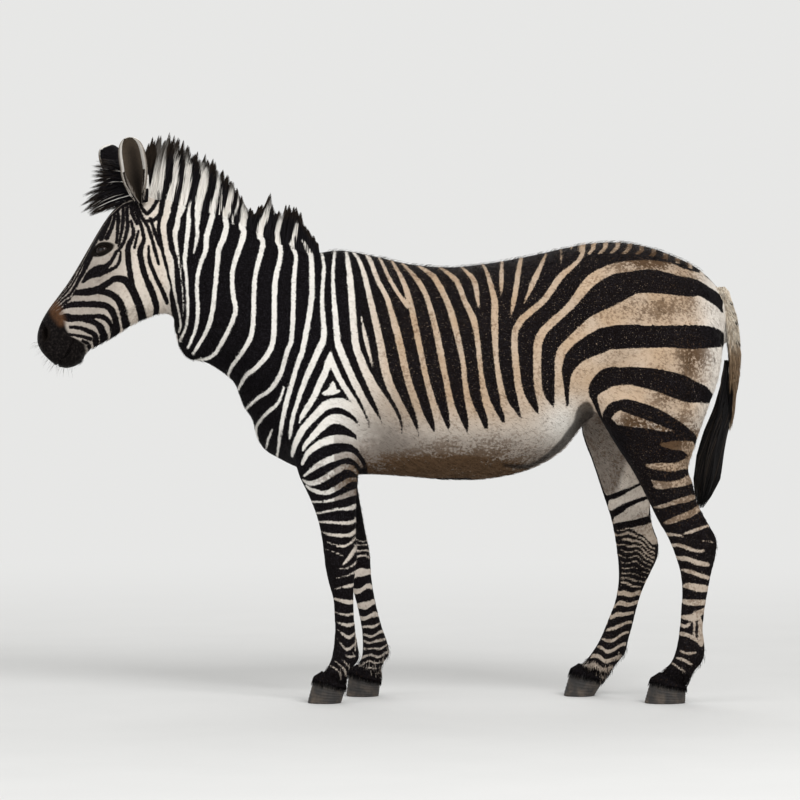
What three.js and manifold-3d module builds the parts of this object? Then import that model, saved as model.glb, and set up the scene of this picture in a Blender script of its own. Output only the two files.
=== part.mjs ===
// A standing mountain zebra, life size, as a still museum model.
// Millimetres, +Z up, the head towards -X, the left flank towards -Y, the hooves on Z = 0.
// Every fleshy part is a loft of ribs. A rib is the outline of one slice: it runs from a point on
// the upper (or front) profile to a point on the lower (or back) profile, and swells sideways
// to a half-width. The whole body is joined, then parted with thin plane cuts.
import * as THREE from "three";
import { mergeVertices } from "three/addons/utils/BufferGeometryUtils.js";
import Module from "manifold-3d";

const GAP = 0.3; // clearance left between neighbouring parts
const ROUND = 20; // sides of a rib on trunk, neck and head
const LEG_ROUND = 12;
const EYE_RADIUS = 23;
const EYE = { x: -849, y: 66, z: 1348 };
const EAR_THICK = 5;
const EAR_BASE = 21; // radius of the ear's tube at its root
const EAR_WIDEST = 47; // half the width of its cup, two thirds of the way up
const EAR_SHOULDER = 0.65; // how far up the ear it is widest
const EAR_BOW = 10; // how far its middle line bows towards its opening
const EAR_FLAT = 0.8; // depth of its cup for each unit of width
const FAR_FORE_LEAN = 0.18; // how far the right foreleg slopes back, per mm below the elbow
const ELBOW = 640;
const LEG_SPACE_WIDTH = 800; // wider than the whole animal

// One rib: profile point a, profile point b, half-width w.
// mid is where along the rib it is widest; na and nb are how square it is above and below.
const rib = (a, b, w, o = {}) => ({
  v: [...a, ...b, w, o.mid ?? 0.5, o.na ?? 2, o.nb ?? 2, o.y ?? 0],
});

const trunkRibs = [
  rib([-405, 1080], [-410, 870], 60),
  rib([-370, 1190], [-385, 768], 112, { mid: 0.58 }),
  rib([-310, 1270], [-325, 715], 150, { mid: 0.6, na: 1.9 }),
  rib([-234, 1335], [-255, 686], 172, { mid: 0.62, na: 1.7 }),
  rib([-144, 1353], [-150, 671], 186, { mid: 0.62, na: 1.65 }),
  rib([-39, 1335], [-40, 674], 206, { mid: 0.6, na: 1.75 }),
  rib([66, 1311], [66, 667], 232, { mid: 0.57, na: 1.9 }),
  rib([186, 1302], [186, 658], 253, { mid: 0.55 }),
  rib([306, 1314], [306, 662], 258, { mid: 0.54 }),
  rib([426, 1336], [426, 690], 249, { mid: 0.52 }),
  rib([516, 1356], [522, 746], 237, { mid: 0.5 }),
  rib([606, 1373], [600, 835], 234, { mid: 0.48 }),
  rib([696, 1376], [700, 868], 238, { mid: 0.5 }),
  rib([786, 1360], [795, 885], 230, { mid: 0.55 }),
  rib([876, 1326], [885, 905], 204, { mid: 0.58 }),
  rib([936, 1292], [945, 940], 168, { mid: 0.58 }),
  rib([981, 1247], [988, 1000], 118, { mid: 0.58 }),
  rib([1004, 1195], [1006, 1070], 60),
];

const neckRibs = [
  rib([-150, 1335], [-300, 770], 140, { mid: 0.6, na: 1.6 }),
  rib([-228, 1352], [-432, 862], 128, { mid: 0.6, na: 1.6 }),
  rib([-282, 1364], [-446, 905], 116, { mid: 0.58, na: 1.6 }),
  rib([-333, 1385], [-468, 955], 103, { mid: 0.56, na: 1.6 }),
  rib([-390, 1415], [-513, 990], 92, { mid: 0.54, na: 1.6 }),
  rib([-444, 1445], [-560, 1013], 84, { mid: 0.52, na: 1.6 }),
  rib([-498, 1468], [-597, 1018], 79, { mid: 0.5, na: 1.65, nb: 1.8 }),
  rib([-564, 1480], [-622, 1046], 77, { mid: 0.48, na: 1.7, nb: 1.8 }),
  rib([-624, 1496], [-638, 1100], 78, { mid: 0.46, na: 1.8 }),
  rib([-669, 1510], [-645, 1150], 78, { mid: 0.45 }),
  rib([-710, 1510], [-690, 1170], 66),
];

const headRibs = [
  rib([-690, 1490], [-645, 1200], 56),
  rib([-726, 1522], [-658, 1156], 76, { mid: 0.42 }),
  rib([-780, 1511], [-684, 1155], 88, { mid: 0.4, nb: 1.9 }),
  rib([-816, 1482], [-717, 1143], 95, { mid: 0.38, na: 2.2, nb: 1.8 }),
  rib([-843, 1449], [-750, 1128], 99, { mid: 0.36, na: 2.4, nb: 1.7 }),
  rib([-870, 1407], [-783, 1110], 97, { mid: 0.36, na: 2.4, nb: 1.7 }),
  rib([-900, 1356], [-816, 1087], 86, { mid: 0.4, na: 2.3, nb: 1.7 }),
  rib([-930, 1305], [-846, 1071], 74, { mid: 0.44, na: 2.1, nb: 1.8 }),
  rib([-960, 1257], [-873, 1056], 65, { mid: 0.48, nb: 1.9 }),
  rib([-993, 1212], [-894, 1047], 60, { mid: 0.5, na: 2.1 }),
  rib([-1020, 1176], [-906, 1032], 59, { mid: 0.5, na: 2.3, nb: 2.2 }),
  rib([-1041, 1140], [-915, 1011], 59, { mid: 0.48, na: 2.5, nb: 2.3 }),
  rib([-1053, 1107], [-942, 996], 56, { mid: 0.46, na: 2.5, nb: 2.3 }),
  rib([-1054, 1074], [-969, 993], 48, { mid: 0.46, na: 2.3, nb: 2.2 }),
  rib([-1041, 1046], [-999, 1005], 34),
];

// Leg ribs run from the front profile to the back profile: [front x, z], [back x, z], half-width,
// and how far out from the middle plane the leg's own middle lies there.
const leg = (a, b, w, out) => rib(a, b, w, { y: out });

const foreRibs = [
  leg([-320, 960], [-70, 960], 50, 118),
  leg([-310, 860], [-72, 850], 62, 122),
  leg([-305, 770], [-75, 770], 67, 122),
  leg([-280, 700], [-80, 705], 65, 122),
  leg([-255, 650], [-88, 655], 57, 121),
  leg([-232, 600], [-90, 600], 50, 120),
  leg([-214, 550], [-90, 550], 45, 119),
  leg([-202, 495], [-90, 495], 41, 118),
  leg([-195, 440], [-88, 440], 39, 118),
  leg([-190, 400], [-92, 400], 39, 118),
  leg([-180, 355], [-97, 352], 35, 117),
  leg([-168, 312], [-98, 310], 29, 117),
  leg([-164, 260], [-96, 258], 26, 116),
  leg([-163, 210], [-91, 205], 27, 116),
  leg([-167, 165], [-84, 165], 32, 115),
  leg([-174, 130], [-84, 128], 34, 115),
  leg([-190, 96], [-112, 92], 31, 115),
  leg([-213, 68], [-126, 42], 36, 115),
];

const hindNearRibs = [
  leg([680, 1210], [900, 1210], 50, 130),
  leg([650, 1150], [960, 1150], 74, 137),
  leg([622, 1060], [1006, 1065], 92, 138),
  leg([604, 960], [984, 960], 98, 136),
  leg([606, 885], [963, 900], 97, 136),
  leg([640, 828], [938, 830], 90, 135),
  leg([675, 770], [918, 770], 80, 134),
  leg([717, 706], [898, 700], 66, 132),
  leg([748, 650], [912, 655], 54, 130),
  leg([773, 600], [925, 600], 46, 128),
  leg([800, 545], [955, 542], 41, 127),
  leg([828, 498], [983, 490], 38, 126),
  leg([852, 440], [981, 440], 38, 125),
  leg([868, 385], [967, 383], 36, 124),
  leg([872, 330], [957, 328], 31, 123),
  leg([869, 275], [948, 272], 27, 122),
  leg([864, 215], [944, 215], 27, 121),
  leg([856, 165], [950, 165], 32, 120),
  leg([842, 125], [943, 125], 34, 120),
  leg([815, 93], [915, 90], 32, 120),
  leg([790, 62], [888, 40], 37, 120),
];

const hindFarRibs = [
  leg([655, 1210], [880, 1210], 50, 130),
  leg([625, 1150], [940, 1150], 74, 137),
  leg([590, 1060], [985, 1065], 92, 138),
  leg([570, 960], [960, 960], 98, 136),
  leg([568, 885], [925, 890], 97, 136),
  leg([577, 822], [885, 825], 90, 135),
  leg([592, 765], [855, 765], 80, 134),
  leg([612, 715], [825, 700], 66, 132),
  leg([632, 655], [805, 640], 54, 130),
  leg([650, 600], [797, 580], 46, 128),
  leg([668, 545], [803, 520], 41, 127),
  leg([680, 490], [822, 465], 38, 126),
  leg([688, 435], [820, 420], 38, 125),
  leg([693, 385], [800, 375], 36, 124),
  leg([692, 340], [778, 328], 31, 123),
  leg([682, 285], [760, 275], 27, 122),
  leg([660, 228], [745, 215], 27, 121),
  leg([637, 172], [731, 165], 32, 120),
  leg([615, 135], [722, 130], 34, 120),
  leg([588, 99], [690, 88], 32, 120),
  leg([560, 70], [654, 42], 37, 120),
];

// Hooves: [front x, back x] at the coronet (with its front and back heights) and at the ground.
const hooves = {
  hoof_fore_left: { top: [-220, 74, -124, 44], foot: [-240, -138], side: -1, out: 115 },
  hoof_fore_right: { top: [-118, 74, -22, 44], foot: [-127, -27], side: 1, out: 115 },
  hoof_hind_left: { top: [785, 70, 890, 44], foot: [765, 888], side: -1, out: 120 },
  hoof_hind_right: { top: [554, 78, 656, 46], foot: [531, 625], side: 1, out: 120 },
};
const HOOF_TOP_WIDTH = 40;
const HOOF_FOOT_WIDTH = 48;

// The mane stands on the crest: [x, height of the hair tips, height of the hair roots].
const maneLine = [
  [-752, 1600, 1490],
  [-722, 1680, 1480],
  [-690, 1692, 1475],
  [-654, 1708, 1468],
  [-626, 1684, 1462],
  [-600, 1674, 1455],
  [-564, 1650, 1445],
  [-528, 1628, 1438],
  [-498, 1602, 1430],
  [-471, 1570, 1420],
  [-444, 1530, 1408],
  [-424, 1488, 1398],
  [-402, 1470, 1386],
  [-378, 1487, 1374],
  [-351, 1520, 1360],
  [-333, 1468, 1352],
  [-303, 1486, 1340],
  [-264, 1474, 1330],
  [-246, 1428, 1326],
  [-225, 1404, 1322],
  [-205, 1362, 1320],
];
const MANE_HALF_WIDTH = 20;

const forelockRibs = [
  rib([-772, 1578], [-786, 1490], 28),
  rib([-815, 1586], [-818, 1486], 32),
  rib([-855, 1575], [-860, 1474], 27),
  rib([-890, 1550], [-895, 1464], 17),
  rib([-918, 1518], [-918, 1458], 5),
];

const dockRibs = [
  rib([950, 1285], [975, 1262], 24),
  rib([983, 1252], [1010, 1200], 27),
  rib([1004, 1165], [1036, 1142], 27),
  rib([1012, 1080], [1049, 1077], 26),
  rib([1012, 1008], [1053, 1008], 26),
  rib([1007, 938], [1055, 936], 27),
];

const tuftRibs = [
  rib([1006, 937.5], [1054, 935.5], 27),
  rib([980, 870], [1052, 870], 33),
  rib([950, 801], [1033, 808], 37),
  rib([928, 732], [1008, 732], 37),
  rib([912, 663], [995, 663], 33),
  rib([920, 610], [968, 609], 20),
  rib([934, 575], [944, 570], 5),
];

// Ears: the middle line from base to tip, and the direction the cup opens.
const ears = {
  ear_left: { base: [-736, -54, 1492], tip: [-775, -92, 1686], open: [-0.35, -0.93, 0] },
  ear_right: { base: [-762, 54, 1500], tip: [-858, 92, 1662], open: [-0.62, 0.78, 0] },
};

const colours = {
  striped_coat: [0x8d8377, 0.85],
  mane_hair: [0x3a322c, 0.8],
  tail_hair: [0x1c1917, 0.75],
  horn: [0x4a443e, 0.6],
  eye: [0x150d08, 0.12],
};

const wasm = await Module();
wasm.setup();

// Closes rings of points, each with the same count, into one geometry with capped ends.
function skinRings(rings) {
  const sides = rings[0].length;
  const points = rings.flat();
  const index = [];
  for (let r = 0; r < rings.length - 1; r++)
    for (let s = 0; s < sides; s++) {
      const a = r * sides + s;
      const b = r * sides + ((s + 1) % sides);
      index.push(a, b, a + sides, b, b + sides, a + sides);
    }
  // A cap is a ladder of rungs from each point to its mirror image, so a C-shaped ring caps cleanly.
  const cap = (first, flip) => {
    for (let s = 0; s < sides / 2 - 1; s++) {
      const [a, b] = [first + s, first + s + 1];
      const [c, d] = [first + sides - 1 - s, first + sides - 2 - s];
      index.push(...(flip ? [a, d, b, a, c, d] : [a, b, d, a, d, c]));
    }
  };
  cap(0, true);
  cap((rings.length - 1) * sides, false);
  const g = new THREE.BufferGeometry();
  g.setAttribute("position", new THREE.Float32BufferAttribute(points.flatMap((p) => p), 3));
  g.setIndex(index);
  return g;
}

// The loft through a list of ribs, on side -1 (left), 1 (right) or 0 (across the middle plane).
function loft(ribs, { sides = ROUND, side = 0, grow = 0, shift = () => 0 } = {}) {
  const rings = [];
  for (const { v } of ribs) {
    const [ax, az, bx, bz, w, mid, na, nb, y] = v;
    const length = Math.hypot(bx - ax, bz - az);
    const [ux, uz] = [(bx - ax) / length, (bz - az) / length];
    const ring = [];
    for (let s = 0; s < sides; s++) {
      const angle = (2 * Math.PI * s) / sides;
      const c = Math.cos(angle);
      const square = 2 / (c > 0 ? na : nb);
      const reach = (c > 0 ? mid : 1 - mid) * length + grow;
      const down = mid * length - Math.sign(c) * reach * Math.abs(c) ** square;
      const out = (w + grow) * Math.sign(Math.sin(angle)) * Math.abs(Math.sin(angle)) ** square;
      const z = az + uz * down;
      ring.push([ax + ux * down + shift(z), side * y + out, z]);
    }
    rings.push(ring);
  }
  return solid(skinRings(rings));
}

// A manifold solid from a geometry, turned to face outwards.
function solid(geometry) {
  const bare = geometry.index ? geometry.toNonIndexed() : geometry.clone();
  for (const name of Object.keys(bare.attributes))
    if (name !== "position") bare.deleteAttribute(name);
  const merged = mergeVertices(bare, 1e-3);
  const triVerts = new Uint32Array(merged.index.array);
  const build = () =>
    new wasm.Manifold(
      new wasm.Mesh({ numProp: 3, vertProperties: merged.attributes.position.array, triVerts }),
    );
  const made = build();
  if (made.volume() > 0) return made;
  for (let i = 0; i < triVerts.length; i += 3)
    [triVerts[i + 1], triVerts[i + 2]] = [triVerts[i + 2], triVerts[i + 1]];
  return build();
}

const join = (parts) => parts.reduce((whole, part) => whole.add(part));

// Everything on the lower-x side of the sloping plane through two profile points.
const inFrontOf = ([x1, z1], [x2, z2], body, offset) => {
  const n = new THREE.Vector3(z1 - z2, 0, x2 - x1).normalize();
  if (n.x > 0) n.negate();
  return body.trimByPlane(n.toArray(), n.x * x1 + n.z * z1 + offset);
};
const behind = ([x1, z1], [x2, z2], body, offset) => {
  const n = new THREE.Vector3(z1 - z2, 0, x2 - x1).normalize();
  if (n.x < 0) n.negate();
  return body.trimByPlane(n.toArray(), n.x * x1 + n.z * z1 + offset);
};

// A block of space under the trunk that holds a pair of legs: its top plane runs through two
// profile points and it reaches forward to xMin and back to xMax.
function legSpace([x1, z1], [x2, z2], xMin, xMax, grow) {
  const slope = (z2 - z1) / (x2 - x1);
  const top = (x) => z1 + slope * (x - x1) + grow;
  const outline = new THREE.Shape([
    new THREE.Vector2(xMin - grow, -20),
    new THREE.Vector2(xMax + grow, -20),
    new THREE.Vector2(xMax + grow, top(xMax)),
    new THREE.Vector2(xMin - grow, top(xMin)),
  ]);
  const block = new THREE.ExtrudeGeometry(outline, { depth: LEG_SPACE_WIDTH, bevelEnabled: false });
  block.rotateX(Math.PI / 2);
  block.translate(0, LEG_SPACE_WIDTH / 2, 0);
  return solid(block);
}

const bodyLofts = (grow) => [
  loft(trunkRibs, { grow }),
  loft(neckRibs, { grow }),
  loft(headRibs, { grow }),
  loft(foreRibs, { sides: LEG_ROUND, side: -1, grow }),
  loft(foreRibs, {
    sides: LEG_ROUND,
    side: 1,
    grow,
    shift: (z) => FAR_FORE_LEAN * Math.max(ELBOW - z, 0),
  }),
  loft(hindNearRibs, { sides: LEG_ROUND, side: -1, grow }),
  loft(hindFarRibs, { sides: LEG_ROUND, side: 1, grow }),
];

function hoof({ top, foot, side, out }, grow) {
  const [fx, fz, bx, bz] = top;
  const ribs = [
    leg([fx, fz], [bx, bz], HOOF_TOP_WIDTH, out),
    leg([foot[0], 0], [foot[1], 0], HOOF_FOOT_WIDTH, out),
  ];
  return loft(ribs, { sides: 16, side, grow });
}

function eye(side, grow) {
  const ball = new THREE.SphereGeometry(EYE_RADIUS + grow, 14, 10);
  ball.translate(EYE.x, side * EYE.y, EYE.z);
  return solid(ball);
}

// An ear is a cupped shell: a C-shaped section swept from base to tip, closed round its rim.
function ear({ base, tip, open }) {
  const [lengthwise, across] = [10, 10];
  const from = new THREE.Vector3(...base);
  const axis = new THREE.Vector3(...tip).sub(from);
  const up = axis.clone().normalize();
  const opening = new THREE.Vector3(...open);
  opening.addScaledVector(up, -opening.dot(up)).normalize();
  const sideways = new THREE.Vector3().crossVectors(up, opening);
  const swell = (u) =>
    EAR_BASE + (EAR_WIDEST - EAR_BASE) * Math.sin((Math.PI / 2) * Math.min(u / EAR_SHOULDER, 1));
  const width = (u) =>
    swell(u) * Math.sqrt(1 - 0.99 * (Math.max(u - EAR_SHOULDER, 0) / (1 - EAR_SHOULDER)) ** 3);
  const wrap = (u) => THREE.MathUtils.degToRad(150 - 62 * Math.min(u * 1.8, 1) - 20 * u);
  const rings = [];
  for (let i = 0; i <= lengthwise; i++) {
    const u = i / lengthwise;
    const centre = from.clone().addScaledVector(axis, u);
    centre.addScaledVector(opening, EAR_BOW * Math.sin(Math.PI * u));
    const ring = [];
    const point = (angle, r) => {
      const p = centre.clone();
      p.addScaledVector(sideways, Math.sin(angle) * r);
      p.addScaledVector(opening, -Math.cos(angle) * r * EAR_FLAT);
      return p.toArray();
    };
    const r = width(u);
    for (let j = 0; j <= across; j++) ring.push(point(wrap(u) * (1 - (2 * j) / across), r));
    const inner = Math.max(r - EAR_THICK, r / 3) * Math.min(0.4 + 2 * u, 1);
    for (let j = across; j >= 0; j--) ring.push(point(wrap(u) * (1 - (2 * j) / across), inner));
    rings.push(ring);
  }
  return solid(skinRings(rings));
}

const maneRibs = (grow) =>
  maneLine.map(([x, tips, roots]) =>
    rib([x, tips + grow], [x, roots], MANE_HALF_WIDTH, { mid: 0.8, na: 1.5 }),
  );

const group = new THREE.Group();
group.name = "mountain_zebra";

function place(name, shape, look) {
  const { vertProperties, triVerts } = shape.getMesh();
  const g = new THREE.BufferGeometry();
  g.setAttribute("position", new THREE.BufferAttribute(vertProperties, 3));
  g.setIndex(new THREE.BufferAttribute(triVerts, 1));
  g.computeVertexNormals();
  const [color, roughness] = colours[look];
  const material = new THREE.MeshStandardMaterial({ color, roughness, metalness: 0 });
  const mesh = new THREE.Mesh(g, material);
  mesh.name = name;
  group.add(mesh);
}

// Cuts: the poll to the throat, the withers to the breast, the elbows, the flank to the buttock.
const POLL_CUT = [[-708, 1530], [-645, 1131]];
const WITHERS_CUT = [[-204, 1362], [-435, 864]];
const ELBOW_CUT = [[-400, 662], [50, 662]];
const FLANK_CUT = [[540, 738], [950, 850]];

const hoofBlanks = Object.values(hooves).map((h) => hoof(h, GAP));
const whole = [...hoofBlanks, eye(-1, GAP), eye(1, GAP)].reduce(
  (body, blank) => body.subtract(blank),
  join(bodyLofts(0)),
);
const grown = join(bodyLofts(GAP));

const forequarters = inFrontOf(...WITHERS_CUT, whole, GAP / 2);
const barrelAndLegs = behind(...WITHERS_CUT, whole, GAP / 2);
const head = inFrontOf(...POLL_CUT, forequarters, GAP / 2);
const neck = behind(...POLL_CUT, forequarters, GAP / 2);
const foreSpace = (grow) => legSpace(...ELBOW_CUT, -400, 50, grow);
const hindSpace = (grow) => legSpace(...FLANK_CUT, 505, 1100, grow);
const forelegs = barrelAndLegs.intersect(foreSpace(0));
const hindlegs = barrelAndLegs.intersect(hindSpace(0));
const trunk = barrelAndLegs.subtract(foreSpace(GAP)).subtract(hindSpace(GAP));
const LEFT = [0, -1, 0];
const RIGHT = [0, 1, 0];

place("head", head, "striped_coat");
place("neck", neck, "striped_coat");
place("trunk", trunk, "striped_coat");
place("foreleg_left", forelegs.trimByPlane(LEFT, 0), "striped_coat");
place("foreleg_right", forelegs.trimByPlane(RIGHT, 0), "striped_coat");
place("hindleg_left", hindlegs.trimByPlane(LEFT, 0), "striped_coat");
place("hindleg_right", hindlegs.trimByPlane(RIGHT, 0), "striped_coat");
for (const [name, h] of Object.entries(hooves)) place(name, hoof(h, 0), "horn");
place("eye_left", eye(-1, 0), "eye");
place("eye_right", eye(1, 0), "eye");

const earShapes = Object.entries(ears).map(([name, e]) => [name, ear(e).subtract(grown)]);
for (const [name, shape] of earShapes) place(name, shape, "striped_coat");
const mane = loft(maneRibs(0), { sides: 8 }).subtract(grown);
place("mane", mane, "mane_hair");
place("forelock", loft(forelockRibs, { sides: 10 }).subtract(grown), "mane_hair");
place("tail_dock", loft(dockRibs, { sides: 12 }).subtract(grown), "striped_coat");
place("tail_tuft", loft(tuftRibs, { sides: 12 }), "tail_hair");

// The origin is the middle of the ground the whole animal covers.
const box = new THREE.Box3().setFromObject(group);
group.position.set(-(box.min.x + box.max.x) / 2, -(box.min.y + box.max.y) / 2, -box.min.z);

export default group;
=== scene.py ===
"""A standing mountain zebra, life size, as a still museum model.

One skin is made from lofts of ribs, fused, smoothed and sculpted. The stripes are drawn on it as
fields, and the mane, tail and other long hair stand on it as solid tufts that carry the same fields.
"""

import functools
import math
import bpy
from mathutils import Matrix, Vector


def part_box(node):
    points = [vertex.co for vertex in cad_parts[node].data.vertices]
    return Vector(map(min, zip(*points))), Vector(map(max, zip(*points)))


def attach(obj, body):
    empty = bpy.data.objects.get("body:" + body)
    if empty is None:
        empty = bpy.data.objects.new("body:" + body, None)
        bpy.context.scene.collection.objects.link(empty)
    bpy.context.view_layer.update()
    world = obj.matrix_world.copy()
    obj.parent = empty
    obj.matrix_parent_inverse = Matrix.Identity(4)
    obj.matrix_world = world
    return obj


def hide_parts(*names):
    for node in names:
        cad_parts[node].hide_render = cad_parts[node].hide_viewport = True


bl_info = {
    "name": "Mountain zebra",
    "version": (1, 0, 0),
    "blender": (4, 5, 0),
    "location": "3D View > Sidebar > Zebra",
    "description": "Builds a life-size standing mountain zebra with its skin, coat, eyes and hooves",
    "category": "Add Mesh",
}

import bmesh
import bpy
import numpy as np
from bpy.props import FloatProperty, FloatVectorProperty, IntProperty, PointerProperty
from mathutils import Vector
from mathutils.kdtree import KDTree

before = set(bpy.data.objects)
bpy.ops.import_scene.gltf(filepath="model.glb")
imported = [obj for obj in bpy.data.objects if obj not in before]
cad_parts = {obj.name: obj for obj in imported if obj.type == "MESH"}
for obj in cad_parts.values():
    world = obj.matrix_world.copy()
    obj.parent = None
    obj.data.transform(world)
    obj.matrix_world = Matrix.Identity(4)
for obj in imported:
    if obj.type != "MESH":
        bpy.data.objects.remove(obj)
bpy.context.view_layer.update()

MM = 0.001
# The ribs are measured from the middle of the body. The frame's own middle lies a little off it.
OFFSET_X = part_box("hoof_fore_left")[0].x + 240 * MM

# ---- Measurements of the body, in millimetres

PLAIN_RIB = (0, 0, 0, 0, 0, 0.5, 2.0, 2.0, 0.0)  # what a short row ends with


def ribs(rows):
    """Slices of a body: the x and z of a profile point above or in front, then of one below or behind,
    and the half-width. A row may go on with where along the slice it is widest, how square it is on
    each side of that, and how far from the middle plane its own middle lies.
    """
    return [(*row, *PLAIN_RIB[len(row):]) for row in rows]


TRUNK = ribs([
    (-405, 1080, -410, 870, 60), (-370, 1190, -385, 768, 112, 0.58), (-310, 1270, -325, 715, 150, 0.6, 1.9),
    (-234, 1335, -255, 686, 172, 0.62, 1.7), (-144, 1353, -150, 671, 186, 0.62, 1.65),
    (-39, 1335, -40, 674, 206, 0.6, 1.75), (66, 1311, 66, 667, 232, 0.57, 1.9),
    (186, 1302, 186, 658, 253, 0.55), (306, 1314, 306, 662, 258, 0.54), (426, 1336, 426, 690, 249, 0.52),
    (516, 1356, 522, 746, 237, 0.5), (606, 1373, 600, 835, 234, 0.48), (696, 1376, 700, 868, 238, 0.5),
    (786, 1360, 795, 885, 230, 0.55), (876, 1326, 885, 905, 204, 0.58), (936, 1292, 945, 940, 168, 0.58),
    (981, 1247, 988, 1000, 118, 0.58), (1004, 1195, 1006, 1070, 60),
])

NECK = ribs([
    (-150, 1335, -300, 770, 140, 0.6, 1.6), (-228, 1352, -432, 862, 128, 0.6, 1.6),
    (-282, 1364, -446, 905, 116, 0.58, 1.6), (-333, 1385, -468, 955, 103, 0.56, 1.6),
    (-390, 1415, -513, 990, 92, 0.54, 1.6), (-444, 1445, -560, 1013, 84, 0.52, 1.6),
    (-498, 1468, -597, 1018, 79, 0.5, 1.65, 1.8), (-564, 1480, -622, 1046, 77, 0.48, 1.7, 1.8),
    (-624, 1496, -638, 1100, 78, 0.46, 1.8), (-669, 1510, -645, 1150, 78, 0.45),
    (-710, 1510, -690, 1170, 66),
])

HEAD = ribs([
    (-690, 1490, -645, 1200, 56), (-726, 1522, -658, 1156, 76, 0.42),
    (-780, 1511, -684, 1155, 88, 0.4, 2.0, 1.9), (-816, 1482, -717, 1143, 95, 0.38, 2.2, 1.8),
    (-843, 1449, -750, 1128, 99, 0.36, 2.4, 1.7), (-870, 1407, -783, 1110, 97, 0.36, 2.4, 1.7),
    (-900, 1356, -816, 1087, 86, 0.4, 2.3, 1.7), (-930, 1305, -846, 1071, 74, 0.44, 2.1, 1.8),
    (-960, 1257, -873, 1056, 65, 0.48, 2.0, 1.9), (-993, 1212, -894, 1047, 60, 0.5, 2.1),
    (-1020, 1176, -906, 1032, 59, 0.5, 2.3, 2.2), (-1041, 1140, -915, 1011, 59, 0.48, 2.5, 2.3),
    (-1053, 1107, -942, 996, 56, 0.46, 2.5, 2.3), (-1054, 1074, -969, 993, 48, 0.46, 2.3, 2.2),
    (-1041, 1046, -999, 1005, 34),
])


def leg(profile, girth):
    """A leg's slices, from its front and back profile points and its half-width and place at each."""
    return [(*row, width, *PLAIN_RIB[5:8], out) for row, (width, out) in zip(profile, girth)]


FORELEG = leg([
    (-320, 960, -70, 960), (-310, 860, -72, 850), (-305, 770, -75, 770), (-280, 700, -80, 705),
    (-255, 650, -88, 655), (-232, 600, -90, 600), (-214, 550, -90, 550), (-202, 495, -90, 495),
    (-195, 440, -88, 440), (-190, 400, -92, 400), (-180, 355, -97, 352), (-168, 312, -98, 310),
    (-164, 260, -96, 258), (-163, 210, -91, 205), (-167, 165, -84, 165), (-174, 130, -84, 128),
    (-190, 96, -112, 92), (-213, 68, -126, 42),
], [
    (50, 118), (62, 122), (67, 122), (65, 122), (57, 121), (50, 120), (45, 119), (41, 118), (39, 118),
    (39, 118), (35, 117), (29, 117), (26, 116), (27, 116), (32, 115), (34, 115), (31, 115), (36, 115),
])

HINDLEG_GIRTH = [
    (50, 130), (74, 137), (92, 138), (98, 136), (97, 136), (90, 135), (80, 134), (66, 132), (54, 130),
    (46, 128), (41, 127), (38, 126), (38, 125), (36, 124), (31, 123), (27, 122), (27, 121), (32, 120),
    (34, 120), (32, 120), (37, 120),
]

HINDLEG_LEFT = leg([
    (680, 1210, 900, 1210), (650, 1150, 960, 1150), (622, 1060, 1006, 1065), (604, 960, 984, 960),
    (606, 885, 963, 900), (640, 828, 938, 830), (675, 770, 918, 770), (717, 706, 898, 700),
    (748, 650, 912, 655), (773, 600, 925, 600), (800, 545, 955, 542), (828, 498, 983, 490),
    (852, 440, 981, 440), (868, 385, 967, 383), (872, 330, 957, 328), (869, 275, 948, 272),
    (864, 215, 944, 215), (856, 165, 950, 165), (842, 125, 943, 125), (815, 93, 915, 90), (790, 62, 888, 40),
], HINDLEG_GIRTH)

HINDLEG_RIGHT = leg([
    (655, 1210, 880, 1210), (625, 1150, 940, 1150), (590, 1060, 985, 1065), (570, 960, 960, 960),
    (568, 885, 925, 890), (577, 822, 885, 825), (592, 765, 855, 765), (612, 715, 825, 700),
    (632, 655, 805, 640), (650, 600, 797, 580), (668, 545, 803, 520), (680, 490, 822, 465),
    (688, 435, 820, 420), (693, 385, 800, 375), (692, 340, 778, 328), (682, 285, 760, 275),
    (660, 228, 745, 215), (637, 172, 731, 165), (615, 135, 722, 130), (588, 99, 690, 88), (560, 70, 654, 42),
], HINDLEG_GIRTH)

DOCK = ribs([
    (950, 1285, 975, 1262, 24), (983, 1252, 1010, 1200, 27), (1004, 1165, 1036, 1142, 25),
    (1012, 1080, 1049, 1077, 22), (1012, 1008, 1050, 1008, 19), (1010, 942, 1046, 940, 15),
    (1010, 900, 1032, 898, 8),
])

FAR_FORE_LEAN = 0.18  # how far the right foreleg slopes back, per mm below the elbow
ELBOW = 640
EYE_RADIUS = 23
EYE_AT = (-849, 66, 1348)  # on the right side; the left one is its mirror image

# Ears: the middle line from root to tip, and the way the cup opens. Left is -Y.
EARS = {
    "ear_left": ((-736, -54, 1492), (-775, -92, 1686), (-0.35, -0.93, 0.0)),
    "ear_right": ((-762, 54, 1500), (-858, 92, 1662), (-0.62, 0.78, 0.0)),
}
EAR_BASE = 21  # half its width at the root
EAR_WIDEST = 48

# ---- Mesh tools


def along(rows, t):
    """Catmull-Rom values at stations t through the rows of a table."""
    rows = np.asarray(rows, float)
    i = np.clip(np.floor(t).astype(int), 0, len(rows) - 2)
    f = (t - i)[:, None]
    p, q = rows[np.clip(i - 1, 0, None)], rows[i]
    r, s = rows[i + 1], rows[np.clip(i + 2, None, len(rows) - 1)]
    return q + 0.5 * f * (r - p + f * (2 * p - 5 * q + 4 * r - s + f * (3 * (q - r) + s - p)))


def grid_faces(rings, sides):
    """Quads between neighbouring rings of points."""
    r, s = np.meshgrid(np.arange(rings - 1), np.arange(sides), indexing="ij")
    a = (r * sides + s).ravel()
    b = (r * sides + (s + 1) % sides).ravel()
    return np.stack([a, b, b + sides, a + sides], 1)


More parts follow.
